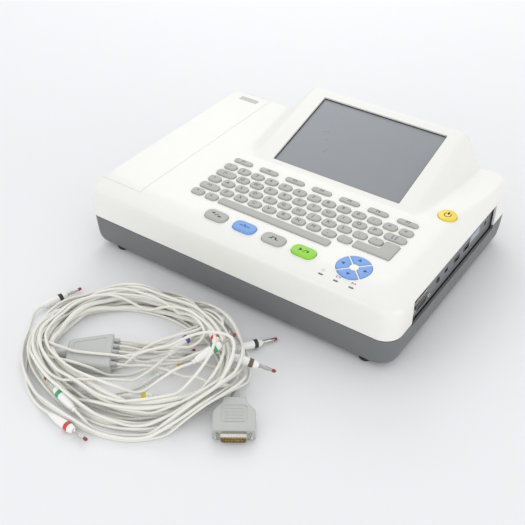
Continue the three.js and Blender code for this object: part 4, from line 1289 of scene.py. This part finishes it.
def light_symbol(i):
    """A ring with a bar in it, a battery outline, and a battery outline with a bar in it."""
    if i == 0:
        return [ring_mark(0, 0, 1.3, 1.6, 0, 360, 0), bar(0, 0, 1.4, 0.35, 0)]
    outline_bars = [bar(0, 0.9, 4, 0.35, 0), bar(0, -0.9, 4, 0.35, 0), bar(-1.9, 0, 0.35, 1.8, 0),
                    bar(1.9, 0, 0.35, 1.8, 0), bar(2.3, 0, 0.4, 0.8, 0)]
    return outline_bars + ([bar(-0.5, 0, 1.4, 1, 0)] if i == 2 else [])


def badge():
    """A blank plate where a maker would put a name."""
    plate = prism(rounded_rectangle(-162, 122, 27, 8.5, 1.2), DECK - 0.1, DECK + 0.25, "blank_badge")
    piece(bevelled(plate, 0.1, 1), BADGE, "lid")


# ------------------------------------------------------------------ patient cable: where it lies
COIL = {"x": -27, "y": -270, "outer": (130, 104), "inner": (82, 56)}
CABLE_HOOD = {"x": 105, "y": -282, "heading": -56, "length": 42, "width": 41, "height": 15}
YOKE = {"x": -66, "y": -296, "heading": 36, "length": 46, "height": 14}
PLUG = {"length": 30, "radius": 4.6}
TABLE_GAP = 0.3
TRUNK_RADIUS, LEAD_RADIUS = 2.75, 1.5

# Each electrode plug: x and y of its middle, its heading in degrees and its colour.
LEAD_PLUGS = {
    "r": (-25, -377, -4, "red"),
    "f": (-41, -358, 168, "green"),
    "c5": (-158, -254, 74, "black"),
    "n": (59, -192, 62, "black"),
    "c4": (77, -226, 24, "brown"),
    "l": (10, -312, 35, "yellow"),
    "c2": (10, -260, 80, "yellow"),
    "c6": (11, -243, 83, "violet"),
    "c1": (35, -221, -36, "red"),
    "c3": (50, -249, 66, "green"),
}

# Each lead: the way it winds (1 anticlockwise), its place across the coil from 0 inside to 1 outside, the
# angles in degrees where it joins and leaves the coil, its waver, and its outlet on the yoke as steps
# (across, up).
LEAD_ROUTES = {
    "r": (1, 0.82, 70, 575, 0.9, (2, 0)),
    "f": (-1, 0.66, 20, -420, 2.1, (-2, 0)),
    "c5": (-1, 0.88, 14, -520, 3.3, (-1, 0)),
    "l": (1, 0.34, 78, 588, 4.0, (1, 0)),
    "c2": (1, 0.52, 62, 604, 5.2, (0, 0)),
    "n": (1, 0.74, 72, 562, 0.3, (2, 1)),
    "c1": (-1, 0.48, -12, -610, 1.4, (-2, 1)),
    "c4": (1, 0.6, 64, 556, 2.7, (1, 1)),
    "c6": (1, 0.42, 68, 600, 3.9, (0, 1)),
    "c3": (1, 0.22, 56, 618, 5.0, (-1, 1)),
}
TRUNK_ROUTE = (-1, 0.3, 195, -1079, 0.6)
LAYING_ORDER = ("r", "c5", "l", "c2", "trunk", "n", "c4", "c1", "c6", "c3", "f")
ON_THE_COIL = ("n", "c4", "c1", "c6", "c3", "f")


def towards(heading):
    turn = math.radians(heading)
    return np.array((math.cos(turn), math.sin(turn)))


def across(heading):
    return towards(heading + 90)


def nearness(angle, middle, width):
    """1 where angle is at the middle, falling to 0 beyond the width, in degrees."""
    away = (angle - middle + 180) % 360 - 180
    return np.exp(-((away / width) ** 2))


def coil_points(way, place, join, leave, waver):
    """A stretch of coil: it wavers across the coil's width, and gives way to the hood and the yoke."""
    angle = np.arange(join, leave, way * 4.0)
    turn = np.radians(angle)
    share = place + 0.13 * np.sin(turn + waver) + 0.09 * np.sin(0.63 * turn + 2.3 * waver)
    share += 0.05 * np.sin(2.7 * turn + 4.1 * waver)
    share *= 1 - 0.42 * nearness(angle, -14, 34)
    share += (1 - share) * 0.25 * nearness(angle, 218, 26)
    share = np.clip(share, 0.06, 0.94)
    axes = [inner + share * (outer - inner) for inner, outer in zip(COIL["inner"], COIL["outer"])]
    return np.stack([COIL["x"] + axes[0] * np.cos(turn), COIL["y"] + axes[1] * np.sin(turn)], 1)


def connector(start, start_way, end, end_way, reach=0.4, steps=14):
    """A smooth run from one point and direction to another, without its end points."""
    length = np.linalg.norm(end - start) * reach
    a, b = start + start_way * length, end - end_way * length
    t = np.linspace(0, 1, steps)[1:-1, None]
    return (1 - t) ** 3 * start + 3 * t * (1 - t) ** 2 * a + 3 * t * t * (1 - t) * b + t ** 3 * end


def unit(v):
    return v / np.linalg.norm(v)


def spaced(path, step=3.0):
    along = np.concatenate([[0], np.cumsum(np.linalg.norm(np.diff(path, axis=0), axis=1))])
    at = np.linspace(0, along[-1], int(along[-1] / step) + 1)
    return np.stack([np.interp(at, along, path[:, k]) for k in range(path.shape[1])], 1)


def eased(values, times=6):
    """Values smoothed along a path, with its ends held."""
    for _ in range(times):
        values[1:-1] = 0.25 * values[:-2] + 0.5 * values[1:-1] + 0.25 * values[2:]
    return values


def flat_route(start, start_heading, coil, end, end_heading):
    """The plan of a cord: out of its exit, round the coil, and in at its far end."""
    run_in = connector(start, towards(start_heading), coil[0], unit(coil[1] - coil[0]))
    run_out = connector(coil[-1], unit(coil[-1] - coil[-2]), end, towards(end_heading))
    whole = np.concatenate([[start, start + 4 * towards(start_heading)], run_in, coil, run_out,
                            [end - 4 * towards(end_heading), end]])
    return eased(spaced(whole))


class Pile:
    """The height of what lies on the table so far, on a grid of 1 mm cells."""

    low = np.array((-200, -420))
    shape = (390, 290)

    def __init__(self):
        self.top = np.zeros(self.shape)
        grid = np.stack(np.meshgrid(*(np.arange(n) for n in self.shape), indexing="ij"), -1)
        self.cells = grid + self.low

    def add_prism(self, at, heading, length, width, height):
        offset = self.cells - np.array(at)
        in_length = np.abs(offset @ towards(heading)) < length / 2
        inside = in_length & (np.abs(offset @ across(heading)) < width / 2)
        self.top[inside] = np.maximum(self.top[inside], height)

    def add_rod(self, start, end, radius, height):
        """A rod whose axis is at a height, or at the heights of its two ends."""
        start, end = np.array(start, float), np.array(end, float)
        low = np.floor(np.minimum(start, end) - radius - self.low).astype(int)
        high = np.ceil(np.maximum(start, end) + radius - self.low).astype(int) + 1
        window = tuple(slice(max(0, a), max(0, b)) for a, b in zip(low, high))
        cells = self.cells[window]
        run = end - start
        t = np.clip(((cells - start) @ run) / max(run @ run, 1e-9), 0, 1)
        away = np.linalg.norm(cells - start - t[..., None] * run, axis=-1)
        heights = np.interp(t, (0, 1), np.broadcast_to(height, 2))
        surface = np.where(away < radius, heights + np.sqrt(np.maximum(radius ** 2 - away ** 2, 0)), 0)
        self.top[window] = np.maximum(self.top[window], surface)

    def support(self, points, radius):
        """How high a ball of that radius lies at each point."""
        reach = int(math.ceil(radius))
        at = np.rint(points - self.low).astype(int)
        best = np.full(len(points), float(radius))
        for i in range(-reach, reach + 1):
            for j in range(-reach, reach + 1):
                cell = at + (i, j)
                away = np.linalg.norm(cell + self.low - points, axis=1)
                lift = np.sqrt(np.maximum(radius ** 2 - away ** 2, 0))
                best = np.maximum(best, np.where(away < radius, self.top[cell[:, 0], cell[:, 1]] + lift, 0))
        return best


STIFF_RADIUS = 55.0  # of the hump where a cord passes over something
BLOCK = 30  # points that are laid at a time


def bridged(height, step=3.0, window=16):
    """The lowest stiff line over the heights: a cord can't dip between the things that hold it up."""
    result = height.copy()
    for shift in range(1, window + 1):
        drop = (shift * step) ** 2 / (2 * STIFF_RADIUS)
        result[shift:] = np.maximum(result[shift:], height[:-shift] - drop)
        result[:-shift] = np.maximum(result[:-shift], height[shift:] - drop)
    return result


def laid(path, radius, start_height, end_height, pile):
    """Lays a cord on the pile and returns its path with heights."""
    raw = np.full(len(path), radius)
    for begin in range(0, len(path), BLOCK):
        raw[begin:begin + BLOCK] = pile.support(path[begin:begin + BLOCK], radius)
        if begin >= 2 * BLOCK:
            settled = bridged(raw[:begin + BLOCK])
            for i in range(begin - 2 * BLOCK, begin - BLOCK):
                pile.add_rod(path[i], path[i + 1], radius, settled[i:i + 2])
    height = eased(bridged(raw), 3)
    steps = np.arange(len(path)) * 3.0
    for gap, end in ((steps, start_height), (steps[::-1], end_height)):
        share = np.clip(gap / 26, 0, 1)
        share = share * share * (3 - 2 * share)
        height = end + (height - end) * share
    for i in range(len(path) - 1):
        pile.add_rod(path[i], path[i + 1], radius, height[i:i + 2])
    return np.column_stack([path, height])


def resting_line(key, pile):
    """The height of a plug's axis at its middle, and its slope, where it lies on the table or the coil."""
    x, y, heading, _ = LEAD_PLUGS[key]
    if key not in ON_THE_COIL:
        return TABLE_GAP + PLUG["radius"], 0.0
    along = np.arange(-18, 34, 2.0)
    points = np.array((x, y)) + along[:, None] * towards(heading)
    body = along < PLUG["length"] / 2
    held = np.where(body, pile.support(points, PLUG["radius"]), pile.support(points, 2.0))
    slopes = np.linspace(-0.3, 0.3, 61)
    heights = (held - slopes[:, None] * along).max(axis=1)
    best = int(np.argmin(heights))
    return float(heights[best]) + 0.2, float(slopes[best])


def plug_tail(key, height, slope):
    x, y, heading, _ = LEAD_PLUGS[key]
    back = PLUG["length"] / 2 + 3
    return np.array((x, y)) - towards(heading) * back, height - slope * back


def yoke_outlet(steps):
    face = np.array((YOKE["x"], YOKE["y"])) + towards(YOKE["heading"]) * (YOKE["length"] / 2 + 3)
    return face + across(YOKE["heading"]) * steps[0] * 8.5, 4.6 + 5.6 * steps[1]


def pile_with_pieces():
    pile = Pile()
    pile.add_prism((YOKE["x"], YOKE["y"]), YOKE["heading"], YOKE["length"], 40, YOKE["height"] + TABLE_GAP)
    pile.add_prism((CABLE_HOOD["x"], CABLE_HOOD["y"]), CABLE_HOOD["heading"], CABLE_HOOD["length"],
                   CABLE_HOOD["width"], CABLE_HOOD["height"] + TABLE_GAP)
    for key in LEAD_PLUGS:
        if key not in ON_THE_COIL:
            add_plug(pile, key, *resting_line(key, pile))
    return pile


def add_plug(pile, key, height, slope):
    x, y, heading, _ = LEAD_PLUGS[key]
    middle, way = np.array((x, y)), towards(heading)
    for start, end, radius in ((-12, 15, PLUG["radius"]), (15, 33, 2)):
        heights = (height + slope * start, height + slope * end)
        pile.add_rod(middle + way * start, middle + way * end, radius, heights)


def cord_curve(name, points, radius, material):
    curve = bpy.data.curves.new(name, "CURVE")
    curve.dimensions = "3D"
    curve.bevel_depth = radius * MM
    curve.bevel_resolution = 3
    curve.use_fill_caps = True
    spline = curve.splines.new("POLY")
    spline.points.add(len(points) - 1)
    flat = np.column_stack([points * MM, np.ones(len(points))])
    spline.points.foreach_set("co", flat.ravel())
    spline.use_smooth = True
    obj = bpy.data.objects.new(name, curve)
    bpy.context.scene.collection.objects.link(obj)
    curve.materials.append(material)
    return obj


# ------------------------------------------------------------------ patient cable: its pieces
def standing_on_heading(obj, at, heading, slope=0.0):
    """Lays a solid that was turned about Z down along a heading, with its front up by a slope."""
    obj.data.transform(Matrix.Rotation(math.radians(90) - math.atan(slope), 4, "Y"))
    obj.data.transform(Matrix.Rotation(math.radians(heading), 4, "Z"))
    obj.data.transform(Matrix.Translation(Vector(at) * MM))
    return obj


def lead_plug(key, height, slope):
    """An electrode plug: a white body with a coloured ring, and a sprung pin with a dipped tip."""
    x, y, heading, colour = LEAD_PLUGS[key]
    at = (x, y, height)
    name = f"lead_plug_{key}"
    parts = [
        (f"{name}_body", PLUG_LOOK, "plug_white", [
            (0, -18.2), (1.9, -18.2), (2.3, -17.8), (2.3, -15.6), (2.0, -15.2), (2.0, -14.8), (2.9, -14.4),
            (3.4, -11), (4.1, -5), (4.45, 0), (4.5, 4.2), (4.25, 4.5), (4.25, 9), (4.5, 9.3), (4.4, 10.2),
            (3.6, 13), (3.0, 14.4), (2.6, 14.9), (0, 14.9)]),
        (f"{name}_ring", RINGS[colour], None, [
            (0, 4.55), (4.3, 4.55), (4.58, 4.75), (4.58, 8.75), (4.3, 8.95), (0, 8.95)]),
        (f"{name}_pin", NICKEL, "plated_steel", [
            (0, 14.8), (2.1, 14.8), (2.1, 16.6), (1.5, 17), (1.5, 18.6), (1.85, 21), (1.95, 23.5), (1.8, 26),
            (1.5, 28.2), (1.5, 29), (0, 29)]),
        (f"{name}_tip", RINGS["pin_red"], None, [
            (0, 28.9), (1.62, 28.9), (1.72, 29.3), (1.72, 31.6), (1.35, 32.6), (0.7, 33), (0, 33)]),
    ]
    made = []
    for part_name, material, slot, profile in parts:
        obj = standing_on_heading(turned(profile, part_name, 28), at, heading, slope)
        made.append(piece(obj, material, "patient_cable", slot, [name] if part_name.endswith("body") else ()))
    return made


def d_outline(width, height, radius=1.6):
    lean = height / 2 * math.tan(math.radians(10))
    corners = [(-width / 2 + lean, -height / 2), (width / 2 - lean, -height / 2),
               (width / 2 + lean, height / 2), (-width / 2 - lean, height / 2)]
    return rounded_corners(corners, radius)


def contacts(radius, tip, base, sides=10):
    """The fifteen contacts of a D connector, in a row of eight over a row of seven, along Z."""
    made = []
    for count, y in ((8, 1.42), (7, -1.42)):
        for i in range(count):
            profile = [(0, base), (radius, base), (radius, tip - 0.4), (radius * 0.5, tip), (0, tip)]
            made.append(placed(turned(profile, "contact", sides), ((i - (count - 1) / 2) * 2.76, y, 0)))
    return made


def facing(obj, place, z):
    """Turns a solid whose front looks along Z, with its width along X, to look along a place's heading."""
    obj.data.transform(SIDEWAYS)
    obj.data.transform(Matrix.Rotation(math.radians(place["heading"]), 4, "Z"))
    obj.data.transform(Matrix.Translation(Vector((place["x"], place["y"], z)) * MM))
    return obj


def lying(obj, place):
    obj.data.transform(Matrix.Rotation(math.radians(place["heading"]), 4, "Z"))
    obj.data.transform(Matrix.Translation(Vector((place["x"], place["y"], 0)) * MM))
    return obj


def cable_hood():
    """The trunk's plug: a moulded hood, its boot, and the D shell with its contacts and thumb screws."""
    length, width, height = CABLE_HOOD["length"], CABLE_HOOD["width"], CABLE_HOOD["height"]
    back, front = -length / 2, length / 2
    shape = rounded_corners([
        (back, -width * 0.26), (back + 7, -width * 0.3), (-length * 0.08, -width / 2), (front, -width / 2),
        (front, width / 2), (-length * 0.08, width / 2), (back + 7, width * 0.3), (back, width * 0.26)], 2.5)
    body = bevelled(prism(shape, TABLE_GAP, height + TABLE_GAP, "cable_hood_shell"), 2.2, 4, angle=50)
    recess = rounded_rectangle(1, 0, 22, 25, 4)
    boolean(body, prism(recess, height + TABLE_GAP - 0.6, height + 5))
    grips = [block((x - 0.8, x + 0.8), (-9, 9), (height - 1, height + TABLE_GAP)) for x in (-6, -2, 2, 6, 10)]
    boolean(body, joined("grips", [bevelled(grip, 0.4, 2) for grip in grips]), "UNION")
    hood = piece(lying(body, CABLE_HOOD), HOOD_LOOK, "patient_cable", "cable_grey", ["cable_hood"])

    middle = TABLE_GAP + height / 2
    flange = bevelled(prism(rounded_rectangle(0, 0, 39, 12.4, 2), front - 0.8, front + 0.4, "flange"), 0.3, 2)
    shell = prism(d_outline(24.6, 8.2), front + 0.2, front + 6, "shell")
    boolean(flange, shell, "UNION")
    boolean(flange, prism(d_outline(23.4, 7), front + 1, front + 9))
    plug_shell = piece(facing(flange, CABLE_HOOD, middle), NICKEL, "patient_cable", "plated_steel",
                       ["cable_plug_shell"])
    plug_shell.name = "cable_hood_d_shell"
    block_shape = prism(d_outline(23.2, 6.8, 1), front + 0.9, front + 1.6, "cable_hood_insulator")
    insulator = piece(facing(block_shape, CABLE_HOOD, middle), INSULATOR, "patient_cable")
    pins = joined("cable_hood_contacts", contacts(0.5, front + 5.4, front + 1))
    pins = piece(facing(pins, CABLE_HOOD, middle), GOLD, "patient_cable")
    screws = [placed(turned([(0, front + 0.3), (2.6, front + 0.3), (2.6, front + 1.4), (1.4, front + 1.6),
                             (1.4, front + 4.6), (1.1, front + 5), (0, front + 5)], "screw", 20), (x, 0, 0))
              for x in (-16.6, 16.6)]
    screws = piece(facing(joined("cable_hood_screws", screws), CABLE_HOOD, middle), STEEL, "patient_cable")
    tail = np.array((CABLE_HOOD["x"], CABLE_HOOD["y"])) + towards(CABLE_HOOD["heading"]) * (back + 0.5)
    boot = standing_on_heading(ribbed_boot("cable_hood_boot", 5.2, 3.3, 16, 5), (*tail, middle),
                               CABLE_HOOD["heading"] + 180)
    boot = piece(boot, HOOD_LOOK, "patient_cable", "cable_grey")
    return [hood, plug_shell, insulator, pins, screws, boot]


def ribbed_boot(name, wide, narrow, length, ribs):
    """A tapered strain relief with ribs, from the origin along Z."""
    profile = [(0, 0), (wide, 0)]
    pitch = length / ribs
    for i in range(ribs):
        radius = wide + (narrow - wide) * (i + 1) / ribs
        profile += [(radius, pitch * i + pitch * 0.55), (radius - 0.5, pitch * i + pitch * 0.62),
                    (radius - 0.5, pitch * (i + 1) - 0.1), (radius - 0.1, pitch * (i + 1))]
    profile.append((0, length))
    return turned(profile, name, 28)


def cable_yoke():
    """Where the trunk splits into the ten leads."""
    length, height = YOKE["length"], YOKE["height"]
    corners = [(-length / 2, -16), (length / 2, -25), (length / 2, 25), (-length / 2, 16)]
    body = prism(rounded_corners(corners, 4), TABLE_GAP, height + TABLE_GAP, "cable_yoke_shell")
    body = bevelled(body, 2.6, 4, angle=50)
    left, right = -length / 2 + 6, length / 2 - 7
    panel = rounded_corners([(left, -11), (right, -18), (right, 18), (left, 11)], 3)
    boolean(body, prism(panel, height + TABLE_GAP - 0.5, height + 4))
    yoke = piece(lying(body, YOKE), HOOD_LOOK, "patient_cable", "cable_grey", ["cable_yoke"])
    collars = []
    for _, _, _, _, _, steps in LEAD_ROUTES.values():
        at, z = yoke_outlet(steps)
        start = at - towards(YOKE["heading"]) * 3.6
        collars.append(standing_on_heading(
            turned([(0, 0), (2.6, 0), (2.5, 2.2), (2.0, 6.5), (1.6, 7), (0, 7)], "collar", 18), (*start, z),
            YOKE["heading"]))
    collars = piece(joined("cable_yoke_collars", collars), HOOD_LOOK, "patient_cable", "cable_grey")
    tail = np.array((YOKE["x"], YOKE["y"])) - towards(YOKE["heading"]) * (length / 2 - 0.5)
    boot = standing_on_heading(ribbed_boot("cable_yoke_boot", 5.2, 3.3, 16, 5),
                               (*tail, TABLE_GAP + height / 2), YOKE["heading"] + 180)
    boot = piece(boot, HOOD_LOOK, "patient_cable", "cable_grey")
    return [yoke, collars], [boot]


def tail_of(thing):
    """Where the trunk meets the boot of the yoke or of the hood, and the height of its axis there."""
    back = thing["length"] / 2 + 12
    at = np.array((thing["x"], thing["y"])) - towards(thing["heading"]) * back
    return at, TABLE_GAP + thing["height"] / 2


def trunk_points(pile):
    start, start_z = tail_of(YOKE)
    end, end_z = tail_of(CABLE_HOOD)
    plan = flat_route(start, YOKE["heading"] + 180, coil_points(*TRUNK_ROUTE), end, CABLE_HOOD["heading"])
    return laid(plan, TRUNK_RADIUS, start_z, end_z, pile)


def lead_points(key, height, slope, pile):
    *coil, outlet = LEAD_ROUTES[key]
    start, start_z = yoke_outlet(outlet)
    end, end_z = plug_tail(key, height, slope)
    plan = flat_route(start, YOKE["heading"], coil_points(*coil), end, LEAD_PLUGS[key][2])
    if key in ON_THE_COIL:
        add_plug(pile, key, height, slope)
    return laid(plan, LEAD_RADIUS, start_z, end_z, pile)


def cable_cord(name, points, radius, far_end):
    """A cord of the patient cable. A cord that ends at the connector hides the CAD coil."""
    cord = cord_curve(name, points, radius, CORD)
    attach(cord, "patient_cable")
    if far_end == "connector":
        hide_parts("cable_coil")


def patient_cable():
    pile = pile_with_pieces()
    yoke_pieces, yoke_boot = cable_yoke()
    hood_pieces = cable_hood()
    for key in LAYING_ORDER:
        if key == "trunk":
            pieces = [*hood_pieces, *yoke_boot, *yoke_pieces]
            cable_cord("trunk_cable", trunk_points(pile), TRUNK_RADIUS, "connector")
        else:
            height, slope = resting_line(key, pile)
            pieces = lead_plug(key, height, slope)
            cable_cord(f"lead_{key}", lead_points(key, height, slope, pile), LEAD_RADIUS, "plug")


# ------------------------------------------------------------------ the whole machine
make_camera()
make_studio()
paint_cad_nodes()
patient_cable()
for build in (
    upper_case, recorder_lid, keyboard, display, lower_case, battery_hatch, bottom_screws, feet,
    connector_panel, ecg_socket, usb_sockets, small_sockets, mains_inlet, earth_post, platen, paper_motor,
    paper_roll, paper_strip, paper_bay, print_head, indicator_lights, badge,
):
    build()
